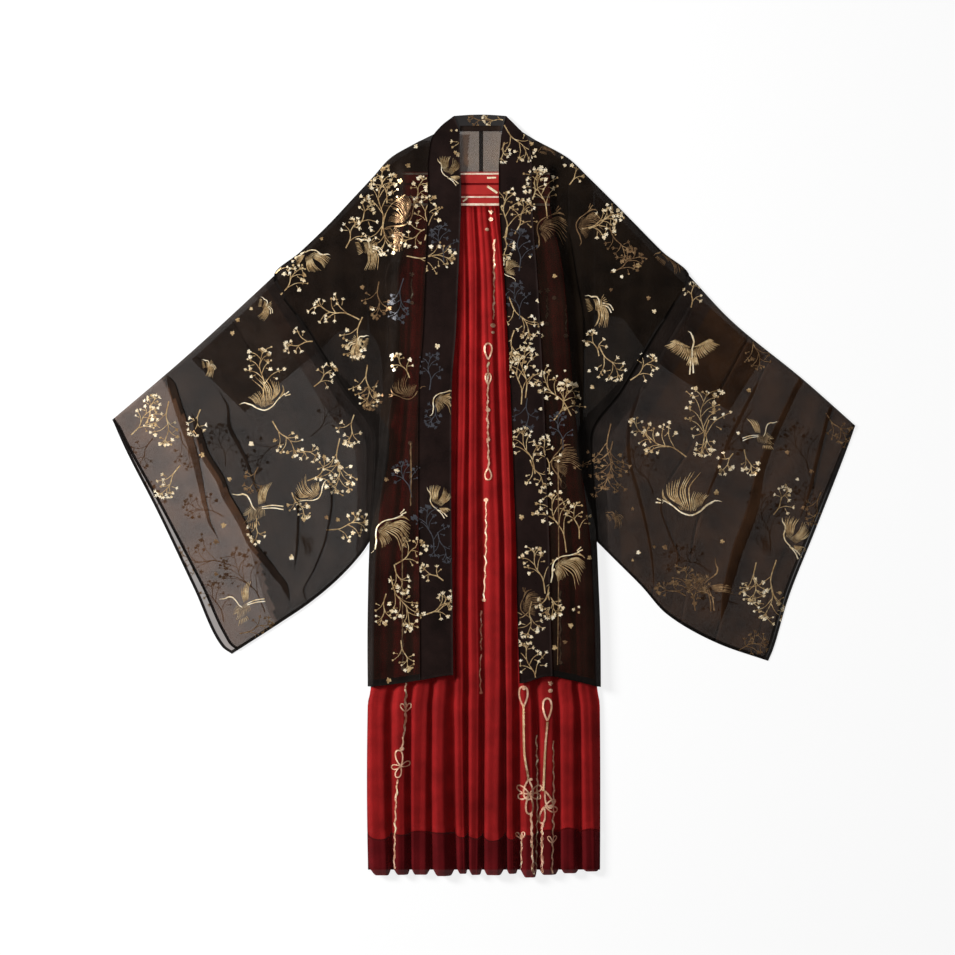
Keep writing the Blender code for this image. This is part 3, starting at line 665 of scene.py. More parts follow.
def build_inner_back():
    top_y, shoulder = INNER_NECK_Y, INNER_BODY[0]
    top = np.linspace(top_y, INNER_COLLAR_TOP_Y, 5)
    heights = np.concatenate([top, np.linspace(shoulder.y, INNER_HEM_Y, 40)])
    left, right = inner_edges(heights)
    span = [-top_y, -shoulder.y]
    at_top = [side - math.copysign(WALL, side) for side in NECK_OPENING]
    left = np.where(heights > shoulder.y, through(span, [at_top[0], shoulder.left_edge], -heights), left)
    right = np.where(heights > shoulder.y, through(span, [at_top[1], shoulder.right_edge], -heights), right)
    half = 50  # columns on each side of the seam
    run = np.linspace(0.0, 1.0, half)
    x = np.concatenate([between(left[:, None], CENTRE_BACK - CENTRE_SEAM, run),
                        between(CENTRE_BACK + CENTRE_SEAM, right[:, None], run)], axis=1)
    y = heights[:, None] + 0 * x
    grid = np.stack([x, y, INNER_BACK_Z + MIDDLE + 0 * x], axis=-1)
    in_neck = (y[1:, 1:] > NECK_LIGHT_Y) & (np.abs(x[1:, 1:] - CENTRE_BACK) < NECK_HALF)
    in_shade = (y[1:, 1:] < NECK_SHADE_TOP_Y) & (x[1:, 1:] < NECK_SHADE_X)
    zone = np.where(in_neck, np.where(in_shade, 2, 1), 0)
    zone[:, half - 1] = np.where(zone[:, half - 1] > 0, 3, 0)
    made = shell("inner_back_cloth", grid, CLOTH, INNER, (INNER_NECK, INNER_SHADE, INNER_SEAM), zone)
    piece(made, ["inner_back"])
    collar = plain_grid(np.linspace(top_y + INNER_COLLAR_HEIGHT, top_y + SEAM, 4), straight(*NECK_OPENING),
                        at_level(INNER_BACK_Z + WALL + MIDDLE), 12)
    piece(shell("inner_collar_back_cloth", collar, CLOTH, CHIFFON_NEAR),
          ["inner_collar_back"])


def build_inner_top():
    build_inner_back()
    heights = np.linspace(INNER_BODY[0].y, INNER_HEM_Y, 40)
    for side, label in ((-1, "left"), (1, "right")):
        seam = INNER_OPEN[side] + side * INNER_COLLAR_WIDTH

        def front_edges(y, side=side, seam=seam):
            edge = inner_edges(y)[0 if side < 0 else 1]
            return (edge, np.full(len(y), seam)) if side < 0 else (np.full(len(y), seam), edge)

        grid = plain_grid(heights, front_edges, at_level(INNER_FRONT_Z + MIDDLE), 24)
        piece(shell(f"inner_front_{label}_cloth", grid, CLOTH, INNER),
              [f"inner_front_{label}"])
        ends = sorted((seam, INNER_OPEN[side]))
        band = plain_grid(np.linspace(INNER_COLLAR_TOP_Y, INNER_HEM_Y, 40), straight(*ends),
                          at_level(INNER_FRONT_Z + MIDDLE), 6)
        piece(shell(f"inner_collar_{label}_cloth", band, CLOTH, CHIFFON_DOUBLE),
              [f"inner_collar_{label}"])
        edges = INNER_SLEEVES[side]
        s = np.linspace(0.0, 1.0, 40)
        over, under = along(edges["over"], s), along(edges["under"], s)
        down = np.concatenate([np.linspace(1.0, 0.0, 24), np.linspace(0.0, 1.0, 24)[1:]])
        front = np.arange(len(down)) >= 24
        rows = []
        for t, is_front in zip(down, front):
            lift = (INNER_FRONT_Z if is_front else INNER_BACK_Z) + MIDDLE
            middle = (INNER_FRONT_Z + INNER_BACK_Z) / 2 + MIDDLE
            z = between(middle, lift, np.sqrt(ramp(t, 0.0, 0.03)))
            rows.append(np.stack([between(over[0], under[0], t), between(over[1], under[1], t),
                                  np.full(len(s), z)], axis=-1))
        piece(shell(f"inner_sleeve_{label}_cloth", np.stack(rows), CLOTH, INNER),
              [f"inner_sleeve_{label}_back", f"inner_sleeve_{label}_front"])


# ---- the robe -----------------------------------------------------------------------------------

OVER_SKIRT_Z = 4.6 * STEP
OVER_BAND_Z = 0.004


def robe_front_z(x, y):
    """The middle of the robe's front: over the sleeves and inner top, and up over the skirt."""
    left, right = skirt_edges(y)
    inside = np.minimum(x - left, right - x)
    over = ease(inside, -0.014, 0.004) * (1.0 - ease(y, BAND_TOP_Y + 0.002, BAND_TOP_Y + 0.020))
    above = skirt_floor(y) + OVER_SKIRT_Z + tallest_pleat(y)
    over_band = skirt_floor(y) + 2 * BAND_WALL + OVER_BAND_Z
    above = np.where(y > SKIRT_TOP_Y - 0.02, np.maximum(above, over_band), above)
    return between(SLEEVE_FRONT_Z, above, over) + MIDDLE


def hem_at(x):
    return through([p[0] for p in ROBE_HEM], [p[1] for p in ROBE_HEM], x)


def with_hem(x, y):
    """Heights of rows that end in the robe's uneven hem instead of a straight one."""
    return y + (hem_at(x) - FRONT_HEM_Y) * ease(-y, HEM_FROM, -FRONT_HEM_Y)


def collar_seam(side, y):
    name = "left_open" if side < 0 else "right_open"
    wide = column(BODY, name, y) + side * COLLAR_WIDTH
    narrow = between(*((-0.1035, -0.098) if side < 0 else (0.0885, 0.083)), ramp(y, 0.604, 0.656))
    return between(wide, narrow, ease(y, 0.580, 0.620))


ARMHOLE_TUCKS = {
    -1: [(0.560, -0.135, 0.0), (0.480, -0.146, 0.012), (0.400, -0.1716, 0.022), (0.306, -0.166, 0.022),
         (0.193, -0.177, 0.020), (0.090, -0.190, 0.008), (0.000, -0.192, 0.0)],
    1: [(0.490, 0.1565, 0.0), (0.406, 0.164, 0.014), (0.320, 0.177, 0.016), (0.244, 0.178, 0.014),
        (0.170, 0.180, 0.008), (0.050, 0.182, 0.0)],
}
ARMHOLE_TUCK_LIFT = 0.0010
FRONT_TOP_Y, FRONT_HEM_Y = 0.656, -0.335
HEM_FROM = 0.20  # how far below y = 0 the rows begin to follow the uneven hem
WAVE = 0.0006  # how high the front's faint waves are
HEM_ROWS = 2  # rows of the grid in the turned-up hem
EDGE_SHADE = 0.013  # beside the skirt, the front's edge lies close to the back; a strip this wide along it gets the back's denser finish, as painted shade
ARMHOLE_SHADE = 0.026  # and above that, by the armhole, a strip this wide gets the darkest finish, as painted shade


def build_robe_fronts():
    for side, label in ((-1, "left"), (1, "right")):
        rows, in_from_edge = [], []
        for y in np.linspace(FRONT_TOP_Y, FRONT_HEM_Y, 170):
            outer = float(column(BODY, f"{label}_edge", y))
            seam = float(collar_seam(side, y))
            length = abs(outer - seam)
            table = []
            for tuck_y, tuck_x, width in ARMHOLE_TUCKS[side]:
                share = min(0.95, max(0.05, abs(tuck_x - outer) / length))
                table.append((FRONT_TOP_Y - tuck_y, share, width))
            tuck = Tuck(table, ARMHOLE_TUCK_LIFT, 1)
            across, lift = spread_columns([tuck], FRONT_TOP_Y - y, (34, 40), length)
            x = outer - side * across * length
            z = robe_front_z(x, y)
            from_edge = across * length
            in_from_edge.append(from_edge)
            if y > SEAM_TOP_Y or y < UNDERARM_Y:
                z = between(STEP + MIDDLE, z, np.sqrt(ramp(from_edge, 0.0, 0.010)))
            z = z + lift + WAVE * np.sin(x * 140 + 3 * y) * ease(from_edge, 0.0, 0.02)
            rows.append(np.stack([x, with_hem(x, y) + 0 * x, z], axis=-1))
        grid = np.stack(rows)
        y, from_edge = grid[1:, 1:, 1], np.stack(in_from_edge)[1:, 1:]
        # painted shade: how far the darkest strip reaches in from the edge by the armhole
        painted_shade_width = ARMHOLE_SHADE * ease(y, UNDERARM_Y, 0.08) * (1.0 - ease(y, 0.12, 0.30))
        # zone 2 is painted shade along the edge beside the skirt; zone 1 is the darkest finish, for the
        # seam, the hem and painted shade by the armhole
        zone = np.where((from_edge < EDGE_SHADE) & (y < UNDERARM_Y), 2, 0)
        zone[from_edge < painted_shade_width] = 1
        zone[-HEM_ROWS:, :] = 1
        zone[:, 0] = 1
        made = shell(f"robe_front_{label}_cloth", grid, CLOTH, CHIFFON_FRONT[side],
                     (CHIFFON_SEAM_AND_SHADE, CHIFFON_BACK_AND_EDGE_SHADE), zone)
        piece(made,
              [f"robe_front_{label}"])


NECK_SEAM_Y = 0.6745
NECK_EDGE = {-1: -0.080, 1: 0.068}  # how far out the top of each half of the back reaches


def build_robe_back():
    for side, label in ((-1, "left"), (1, "right")):
        edge_name = f"{label}_edge"
        middle = CENTRE_BACK + side * 0.00002  # the halves all but touch
        heights = np.concatenate([[NECK_SEAM_Y, 0.668], np.linspace(FRONT_TOP_Y, FRONT_HEM_Y, 90)])
        tops = [NECK_EDGE[side], getattr(BODY[0], edge_name)]
        edge = through([-NECK_SEAM_Y, -FRONT_TOP_Y], tops, -heights)
        edge = np.where(heights > FRONT_TOP_Y, edge, column(BODY, edge_name, heights))
        share = np.append(np.linspace(0.0, 1.0 - CENTRE_SEAM / abs(middle - edge[0]), 39), 1.0)
        x = edge[:, None] + (middle - edge)[:, None] * share
        x[:, -2] = middle + side * CENTRE_SEAM
        y = heights[:, None] + 0 * x
        y = with_hem(x, y)
        grid = np.stack([x, y, MIDDLE + 0 * x], axis=-1)
        in_neck = (heights[1:, None] > NECK_LIGHT_Y) & (np.abs(x[1:, 1:] - CENTRE_BACK) < NECK_HALF)
        zone = np.where(in_neck, 0, 1)
        zone[:, -1] = 2
        others = (CHIFFON_BACK_AND_EDGE_SHADE, CHIFFON_SEAM_AND_SHADE)
        made = shell(f"robe_back_{label}_cloth", grid, CLOTH, CHIFFON_LIGHT, others, zone)
        piece(made, [f"robe_back_{label}"])


CollarCut = namedtuple("CollarCut", "inner_x inner_y outer_x outer_y")
COLLAR_NECK = {
    -1: [CollarCut(-0.045, 0.675, -0.055, 0.702), CollarCut(-0.0445, 0.662, -0.080, 0.682),
         CollarCut(-0.044, 0.640, -0.098, 0.656), CollarCut(-0.043, 0.600, -0.1035, 0.604)],
    1: [CollarCut(0.034, 0.675, 0.041, 0.702), CollarCut(0.032, 0.662, 0.062, 0.681),
        CollarCut(0.030, 0.640, 0.083, 0.656), CollarCut(0.0275, 0.600, 0.0885, 0.604)],
}


NECK_OVERLAP = 0.0015  # how far the band at the neck lies over the back ...
NECK_BAND_Z = 0.0012  # ... at this height
NECK_ARCH = 0.0025  # how much its top edge rises in the middle


def build_collar():
    """The band runs down both front edges from the back of the neck."""
    for side, label in ((-1, "left"), (1, "right")):
        name = f"{label}_open"
        cuts = [tuple(cut) for cut in COLLAR_NECK[side]]
        for y in (0.56, 0.48, 0.40, 0.30, 0.20, 0.10, 0.0, -0.10, -0.20, FRONT_HEM_Y):
            x = float(column(BODY, name, y))
            cuts.append((x, y, x + side * COLLAR_WIDTH, y))
        cuts = np.array(cuts)
        shares = np.concatenate([[0], np.cumsum(np.hypot(*np.diff(cuts[:, 2:], axis=0).T))])
        fine = np.linspace(0.0, shares[-1], 190)
        inner_x, inner_y, outer_x, outer_y = (through(shares, cuts[:, k], fine) for k in range(4))
        share = np.linspace(0.0, 1.0, 15)
        x = inner_x[:, None] + (outer_x - inner_x)[:, None] * share
        y = inner_y[:, None] + (outer_y - inner_y)[:, None] * share
        y = with_hem(x, y)
        z = robe_front_z(0 * x + inner_x[:, None], y) + 0.0008
        z = z + 0.0006 * np.sin(np.pi * share)[None, :]
        z = between(1.8 * STEP + 0.001, z, ease(fine, 0.0, 0.05)[:, None])
        piece(shell(f"robe_collar_{label}_cloth", np.stack([x, y, z], axis=-1), BAND, CHIFFON_DOUBLE),
              [f"robe_collar_{label}"])
    left, right = COLLAR_NECK[-1][0], COLLAR_NECK[1][0]
    share = np.linspace(0.0, 1.0, 24)
    down = np.linspace(0.0, 1.0, 9)[:, None]
    arch = NECK_ARCH * np.sin(np.pi * share)
    outer = between(left.outer_x, right.outer_x, share)
    inner = between(left.inner_x, right.inner_x, share)
    x = between(outer, inner, down)
    y = between(left.outer_y + arch, left.inner_y - NECK_OVERLAP + 0 * share, down)
    grid = np.stack([x, y, NECK_BAND_Z + 0 * x], axis=-1)
    piece(shell("robe_collar_back_cloth", grid, BAND, NECK_BAND), ["robe_collar_back"])


SLEEVE_TUCKS = {
    -1: [
        Tuck([(0.65, 0.275, 0.0), (0.71, 0.275, 0.005), (0.82, 0.325, 0.006), (0.90, 0.425, 0.006),
              (0.945, 0.51, 0.004), (1.0, 0.51, 0.0)], 0.0010, 1),
        Tuck([(0.60, 0.44, 0.0), (0.65, 0.45, 0.006), (0.79, 0.50, 0.006), (0.86, 0.54, 0.0)], 0.0010, 1),
        Tuck([(0.16, 0.50, 0.0), (0.22, 0.50, 0.004), (0.30, 0.545, 0.008), (0.42, 0.555, 0.006),
              (0.545, 0.585, 0.003), (0.605, 0.585, 0.0)], 0.0010, 1),
        Tuck([(0.17, 0.66, 0.0), (0.23, 0.675, 0.014), (0.34, 0.705, 0.018), (0.42, 0.70, 0.018),
              (0.50, 0.715, 0.017), (0.645, 0.715, 0.016), (0.825, 0.64, 0.014), (0.89, 0.605, 0.012),
              (0.95, 0.60, 0.0)], 0.0011, 1),
        Tuck([(0.0, 0.67, 0.0), (0.06, 0.685, 0.018), (0.18, 0.715, 0.018), (0.275, 0.74, 0.016),
              (0.38, 0.78, 0.013), (0.48, 0.82, 0.009), (0.545, 0.84, 0.005), (0.605, 0.84, 0.0)],
             0.0011, 1),
    ],
    1: [
        Tuck([(0.40, 0.07, 0.0), (0.467, 0.088, 0.008), (0.675, 0.25, 0.010), (0.90, 0.367, 0.006),
              (0.96, 0.38, 0.0)], 0.0010, 1),
        Tuck([(0.61, 0.385, 0.0), (0.67, 0.385, 0.004), (0.74, 0.45, 0.006), (0.785, 0.50, 0.003),
              (0.845, 0.50, 0.0)], 0.0010, 1),
        Tuck([(0.10, 0.515, 0.0), (0.148, 0.515, 0.006), (0.285, 0.515, 0.007), (0.448, 0.532, 0.006),
              (0.60, 0.562, 0.0)], 0.0010, 1),
        Tuck([(0.0, 0.682, 0.010), (0.208, 0.682, 0.012), (0.35, 0.695, 0.016), (0.49, 0.735, 0.022),
              (0.595, 0.75, 0.022), (0.705, 0.75, 0.020), (0.82, 0.745, 0.016), (0.92, 0.745, 0.0)],
             0.0011, 1),
        Tuck([(0.0, 0.86, 0.008), (0.20, 0.90, 0.008), (0.35, 0.93, 0.005), (0.45, 0.935, 0.0)], 0.0010, 1),
    ],
}
SLEEVE_COLUMNS = (18, 18, 12, 12, 12, 28)

# The sleeves' soft folds: a row for each ridge, in shares of the way out (s) and down (t).
Fold = namedtuple("Fold", "s0 t0 s1 t1 height width")
SLEEVE_FOLDS = {
    -1: [Fold(0.80, 0.05, 0.72, 0.98, 0.0050, 0.045), Fold(0.60, 0.08, 0.50, 0.60, 0.0030, 0.050),
         Fold(0.28, 0.30, 0.30, 0.95, 0.0040, 0.060), Fold(0.08, 0.35, 0.12, 0.90, 0.0045, 0.050)],
    1: [Fold(0.82, 0.04, 0.70, 0.96, 0.0050, 0.045), Fold(0.62, 0.10, 0.48, 0.70, 0.0035, 0.050),
        Fold(0.30, 0.25, 0.26, 0.95, 0.0040, 0.060), Fold(0.09, 0.30, 0.12, 0.92, 0.0045, 0.050)],
}
CUFF_INSET = {-1: [(0.0, 0.004), (0.3, 0.008), (0.9, 0.016), (1.0, 0.012)],
              1: [(0.0, 0.004), (0.5, 0.007), (1.0, 0.006)]}
SLEEVE_ROWS = 110
ROLL = 0.012  # share of the way down over which the fold at the top is rounded


def fold_height(folds, s, t):
    total = 0.0
    for fold in folds:
        way = (fold.s1 - fold.s0, fold.t1 - fold.t0)
        run = ramp(((s - fold.s0) * way[0] + (t - fold.t0) * way[1]) / (way[0] ** 2 + way[1] ** 2), 0.0, 1.0)
        away = np.hypot(s - between(fold.s0, fold.s1, run), t - between(fold.t0, fold.t1, run))
        total = total + fold.height * bell(away, fold.width)
    return total


SLEEVE_HEM = 0.0055  # the rolled hems and the seams
SLEEVE_DROP = 0.45  # from a sleeve's top to its lower edge
LIGHT_FROM = {-1: 0.70, 1: 1.1}  # beyond this share the left sleeve's cloth is given a paler, more see-through finish
# up to this share from the join with the body the sleeve has its darkest chiffon, and a less dark one up to
# twice as far
DARKER_TO = {-1: 0.06, 1: 0.08}


def build_sleeves():
    """Each wide sleeve is one sheet folded along its top, its front tucked and lying on its back."""
    for side, label in ((-1, "left"), (1, "right")):
        edges, rows, shares = SLEEVES[side], [], []
        inner = 1.0 - SLEEVE_HEM / SLEEVE_DROP
        downs = np.concatenate([[-1.0], np.linspace(-inner, inner, 2 * SLEEVE_ROWS + 1), [1.0]])
        for u in downs:
            t = abs(u)
            join, cuff = along(edges["join"], t), along(edges["cuff"], t)
            length = math.hypot(cuff[0] - join[0], cuff[1] - join[1])
            s, lift = spread_columns(SLEEVE_TUCKS[side], t, SLEEVE_COLUMNS, length, SLEEVE_HEM)
            front = u > 0
            roll = math.sqrt(float(ramp(t, 0.0, ROLL)))
            if front:
                inset = float(through(*zip(*CUFF_INSET[side]), t)) / length
                shares.append(s)
                s = s * (1.0 - inset * ease(t, 0.0, 0.05))
                swell = fold_height(SLEEVE_FOLDS[side], s, t) * ramp(s, 0.0, 0.08)
                swell = swell * ramp(t, 0.0, 0.1) * ramp(1.0 - t, 0.0, 0.07)
                z = between(SLEEVE_FRONT_Z / 2, SLEEVE_FRONT_Z, roll * ramp(1.0 - t, 0.0, 0.02))
                z = z * between(1.0, 0.5, ease(s, 0.95, 1.0)) + swell + lift * ease(t, 0.0, 0.03)
            else:
                run = np.linspace(SLEEVE_HEM / length, 1 - SLEEVE_HEM / length, len(s) - 2)
                s = np.concatenate([[0.0], run, [1.0]])
                shares.append(s)
                z = between(SLEEVE_FRONT_Z / 2, 0.0, roll) + 0 * s
            x, y = patch(edges, s, t)
            rows.append(np.stack([x, y, z + MIDDLE], axis=-1))
        shares = np.stack(shares)
        middle = (shares[1:, 1:] + shares[:-1, :-1]) / 2
        zone = np.where(middle > LIGHT_FROM[side], 1, 0)
        zone[middle < 2 * DARKER_TO[side]] = 4
        zone[middle < DARKER_TO[side]] = 2
        zone[:, 0] = zone[:, -1] = 3
        zone[0, :] = zone[-1, :] = 3
        # the right sleeve gets the darker copy of the chiffon: painted shade
        finish = CHIFFON if side < 0 else CHIFFON_SHADED
        others = (CHIFFON_LIGHT, CHIFFON_BY_JOIN, CHIFFON_SEAM_AND_SHADE, CHIFFON_NEAR)
        made = shell(f"robe_sleeve_{label}_cloth", np.stack(rows), CLOTH, finish, others, zone)
        walls = [f"robe_sleeve_{label}_back", f"robe_sleeve_{label}_front"]
        piece(made, walls)


# ---- the foil prints ----------------------------------------------------------------------------

MM = 0.001
BRIGHT, GOLD, DIM, BEHIND, COPPER = range(5)  # tones of the foil; one of them shows through the cloth
FOIL_LIFT = 0.00025


class Ink:
    """Flat shapes in metres, each with a tone, collected before they are laid on the cloth."""

    def __init__(self):
        self.points, self.faces, self.tones = [], [], []

    def shape(self, points, faces, tone):
        base = len(self.points)
        self.points += [tuple(p) for p in points]
        self.faces += [tuple(base + i for i in face) for face in faces]
        self.tones += [tone] * len(faces)

    def stroke(self, path, wide, thin, tone=GOLD, leaf=False, spacing=0.005):
        """A line that narrows from wide to thin, or a leaf that swells to wide and ends in a point."""
        path = np.asarray(path, float)
        size = np.hypot(*np.diff(path, axis=0).T).sum()
        share = np.linspace(0.0, 1.0, max(4 if leaf else 2, int(size / spacing)) + 1)
        line = np.stack(along(path, share) if len(path) > 2 else between(path[0], path[1], share[:, None]).T)
        way = np.gradient(line, axis=1)
        way /= np.maximum(np.hypot(*way), 1e-9)
        swell = 0.25 + 0.75 * np.sin(np.pi * share ** 0.75) if leaf else 1.0
        width = (wide if leaf else between(wide, thin, share)) * swell / 2
        width = np.where(leaf & (share == 1.0), thin / 2, width)
        side = np.stack([-way[1], way[0]]) * width
        points = np.concatenate([(line + side).T, (line - side).T])
        count = len(share)
        self.shape(points, [(k, k + 1, k + 1 + count, k + count) for k in range(count - 1)], tone)

    def petals(self, x, y, radius, tone=BRIGHT, turn=0.0, lobes=5):
        """A small open flower, or a bud if it has no lobes."""
        angle = np.linspace(0.0, 2 * np.pi, 20 if lobes else 8, endpoint=False)
        reach = radius * (1.0 + 0.12 * np.cos(2 * angle + 5 * turn))
        if lobes:
            uneven = 0.85 + 0.25 * np.cos(angle - 3 * turn) * np.sin(2 * angle + turn)
            reach = radius * uneven * (0.45 + 0.55 * np.abs(np.cos(lobes * (angle + turn) / 2)) ** 0.6)
        rim = np.stack([x + reach * np.cos(angle), y + reach * np.sin(angle)], axis=-1)
        count = len(angle)
        faces = [(0, 1 + k, 1 + (k + 1) % count) for k in range(count)]
        self.shape(np.concatenate([[(x, y)], rim]), faces, tone)

    def place(self, other, x, y, turn, size, tone):
        """Adds another ink at a place, in one tone if it is a dark one; a negative size mirrors it."""
        c, s = math.cos(math.radians(turn)), math.sin(math.radians(turn))
        across, up = (np.asarray(other.points) * (size, abs(size))).T
        points = np.stack([x + c * across - s * up, y + s * across + c * up], -1)
        base = len(self.points)
        self.points += [tuple(p) for p in points]
        self.faces += [tuple(base + i for i in face) for face in other.faces]
        self.tones += [tone if tone >= DIM else own for own in other.tones]


def heading(x, y, angle, length):
    a = math.radians(angle)
    return x + length * math.cos(a), y + length * math.sin(a)


# A crane is drawn with fans of feathers, the line of its neck and body, and its legs. In mm, about 90
# across. A fan starts along the bone from (x0, y0) to (x1, y1) and turns from angle0 to angle1.
Fan = namedtuple("Fan", "x0 y0 x1 y1 angle0 angle1 length0 length1 count bend width")
Crane = namedtuple("Crane", "neck beak legs fans")
CRANES = {
    "soar": Crane(
        [(-42, 6), (-26, -3), (-12, -14), (2, -18), (16, -12), (27, -2), (35, 2)],
        [(34, 2), (41, 5), (50, 3)],
        [[(-40, 3), (-50, 8)], [(-41, 1), (-52, 2)]],
        [Fan(-22, 2, 2, -12, 114, 78, 30, 62, 8, 7, 3.4), Fan(4, -10, 18, -3, 84, 56, 30, 20, 7, 4, 2.4),
         Fan(-28, 0, -40, 7, 150, 92, 12, 16, 5, 2, 3.6), Fan(-12, -10, 8, -12, 130, 60, 9, 9, 8, 2, 1.6)],
    ),
    "stand": Crane(
        [(-2, -2), (-8, 6), (-12, 16), (-19, 26), (-27, 28)], [(-26, 28), (-34, 26), (-46, 28)],
        [[(10, 4), (30, 7), (50, 5)], [(10, 1), (30, 2), (50, -1)]],
        [Fan(4, 8, 15, 12, 82, 70, 34, 40, 6, 3, 3.0), Fan(-14, -2, 8, 6, 250, 290, 26, 20, 9, 6, 1.6),
         Fan(-16, -10, -4, 2, 190, 120, 10, 10, 7, 3, 1.6),
         Fan(-14, -26, 2, -22, 245, 290, 14, 10, 5, 2, 3.0)],
    ),
    "spread": Crane(
        [(0, -12), (0, 4), (3, 16), (0, 27)], [(0, 26), (-2, 31), (-7, 34)],
        [[(-2, -12), (-4, -36)], [(1, -12), (2, -34)]],
        [Fan(-3, 5, -28, 17, 262, 205, 20, 18, 10, 3, 4.4), Fan(3, 5, 28, 19, 278, 335, 20, 18, 10, -3, 4.4),
         Fan(-3, 8, -26, 20, 170, 200, 8, 10, 9, 2, 3.0), Fan(3, 8, 26, 21, 10, -20, 8, 10, 9, 2, 3.0),
         Fan(-4, -8, 5, -8, 248, 292, 14, 14, 6, 2, 4.0)],
    ),
    "dive": Crane(
        [(4, 2), (3, 12), (-3, 19), (-12, 18)], [(-11, 18), (-17, 21), (-24, 20)],
        [[(10, 6), (24, 3), (31, -8)], [(10, 2), (21, -2), (27, -13)]],
        [Fan(0, 2, 12, 4, 262, 278, 42, 46, 6, 5, 3.4), Fan(-16, 14, -8, -4, 185, 215, 8, 12, 7, 3, 2.4),
         Fan(-8, 14, 8, 14, 280, 262, 22, 24, 8, 4, 1.8), Fan(8, 14, 14, 2, 60, -10, 10, 8, 5, 2, 2.4)],
    ),
    "climb": Crane(
        [(4, -18), (-6, -10), (-11, 2), (-9, 12), (-13, 22)], [(-13, 21), (-17, 26), (-18, 32)],
        [[(6, -20), (18, -26), (28, -36)], [(3, -19), (14, -28), (22, -40)]],
        [Fan(-5, 2, 6, 4, 100, 76, 34, 32, 7, 4, 3.2), Fan(8, 0, 18, -6, 66, 40, 34, 26, 7, -4, 3.0),
         Fan(10, -16, 20, -16, 300, 345, 16, 18, 6, 3, 3.2),
         Fan(-6, -2, 12, -12, 70, 30, 12, 12, 8, 2, 1.6)],
    ),
}


FEATHER = 0.52  # how wide the feathers are drawn, leaving cloth to show between them


def draw_crane(name, random):
    crane, ink = CRANES[name], Ink()
    for fan in crane.fans:
        for share in np.linspace(0.0, 1.0, fan.count + fan.count // 3):
            angle = between(fan.angle0, fan.angle1, share) + random.uniform(-2, 2)
            length = between(fan.length0, fan.length1, share) * (0.94 + 0.1 * random.random())
            x, y = between(fan.x0, fan.x1, share), between(fan.y0, fan.y1, share)
            tip = heading(x, y, angle, length)
            middle = heading(*heading(x, y, angle, length / 2), angle + 90, fan.bend * length / 40)
            path = np.array([(x, y), middle, tip]) * MM
            ink.stroke(path, FEATHER * fan.width * MM, 0.3 * MM, leaf=True)
    ink.stroke(np.array(crane.neck) * MM, 1.6 * MM, 2.8 * MM, BRIGHT)
    ink.stroke(np.array(crane.beak) * MM, 2.6 * MM, 0.4 * MM, BRIGHT)
    for leg in crane.legs:
        ink.stroke(np.array(leg) * MM, 1.6 * MM, 2.2 * MM, BRIGHT)
    return ink


STEM = 0.118  # length of a full-size branch


def flower_end(ink, x, y, angle, leafy, random):
    """What a twig ends in: a flower, a bud, or three narrow leaves."""
    if leafy and random.random() < 0.7:
        for spread in (-50, 0, 50):
            tip = heading(x, y, angle + spread, random.uniform(3.5, 5.5) * MM)
            ink.stroke([(x, y), tip], 2.2 * MM, 1.3 * MM, BRIGHT)
    elif random.random() < 0.3:
        ink.petals(x, y, random.uniform(1.5, 2.3) * MM, GOLD, random.uniform(0, 6), lobes=0)
    else:
        tone = BRIGHT if random.random() < 0.8 else GOLD
        ink.petals(x, y, random.uniform(2.3, 5.2) * MM, tone, random.uniform(0, 6))


def draw_branch(leafy, size, random):
    """A stem that grows upwards with twigs on both sides, and the flowers or leaves at their ends."""
    ink, tall = Ink(), STEM * size
    stem = np.array([(0.0, -0.5), (0.035, -0.22), (-0.04, 0.08), (0.02, 0.34)]) * tall
    ink.stroke(stem, 2.2 * MM, 1.1 * MM)
    count = max(3, round(8 * size))
    for k in range(count):
        share = between(0.30, 0.97, k / (count - 1))
        x, y = (float(v) for v in along(stem, share))
        side = 1 if k % 2 else -1
        angle = 90 + side * random.uniform(30, 62)
        length = tall * between(0.46, 0.20, k / (count - 1)) * random.uniform(0.75, 1.2)
        tip = heading(x, y, angle, length)
        bend = heading(*heading(x, y, angle, length * 0.5), angle - side * 90, length * 0.12)
        ink.stroke([(x, y), bend, tip], 1.4 * MM, 0.9 * MM)
        flower_end(ink, *tip, angle, leafy, random)
        for j, place in enumerate((0.45, 0.75)[: 1 + (length > 0.028)]):
            start = between(x, tip[0], place), between(y, tip[1], place)
            turn = angle + (1 if (j + k) % 2 else -1) * random.uniform(40, 75)
            end = heading(*start, turn, random.uniform(6, 10) * MM)
            ink.stroke([start, end], 1.1 * MM, 0.8 * MM)
            flower_end(ink, *end, turn, leafy, random)
    for angle in (48, 92, 138):
        end = heading(*stem[-1], angle + random.uniform(-9, 9), random.uniform(5, 9) * MM)
        ink.stroke([stem[-1], end], 1.1 * MM, 0.8 * MM)
        flower_end(ink, *end, angle, leafy, random)
    return ink


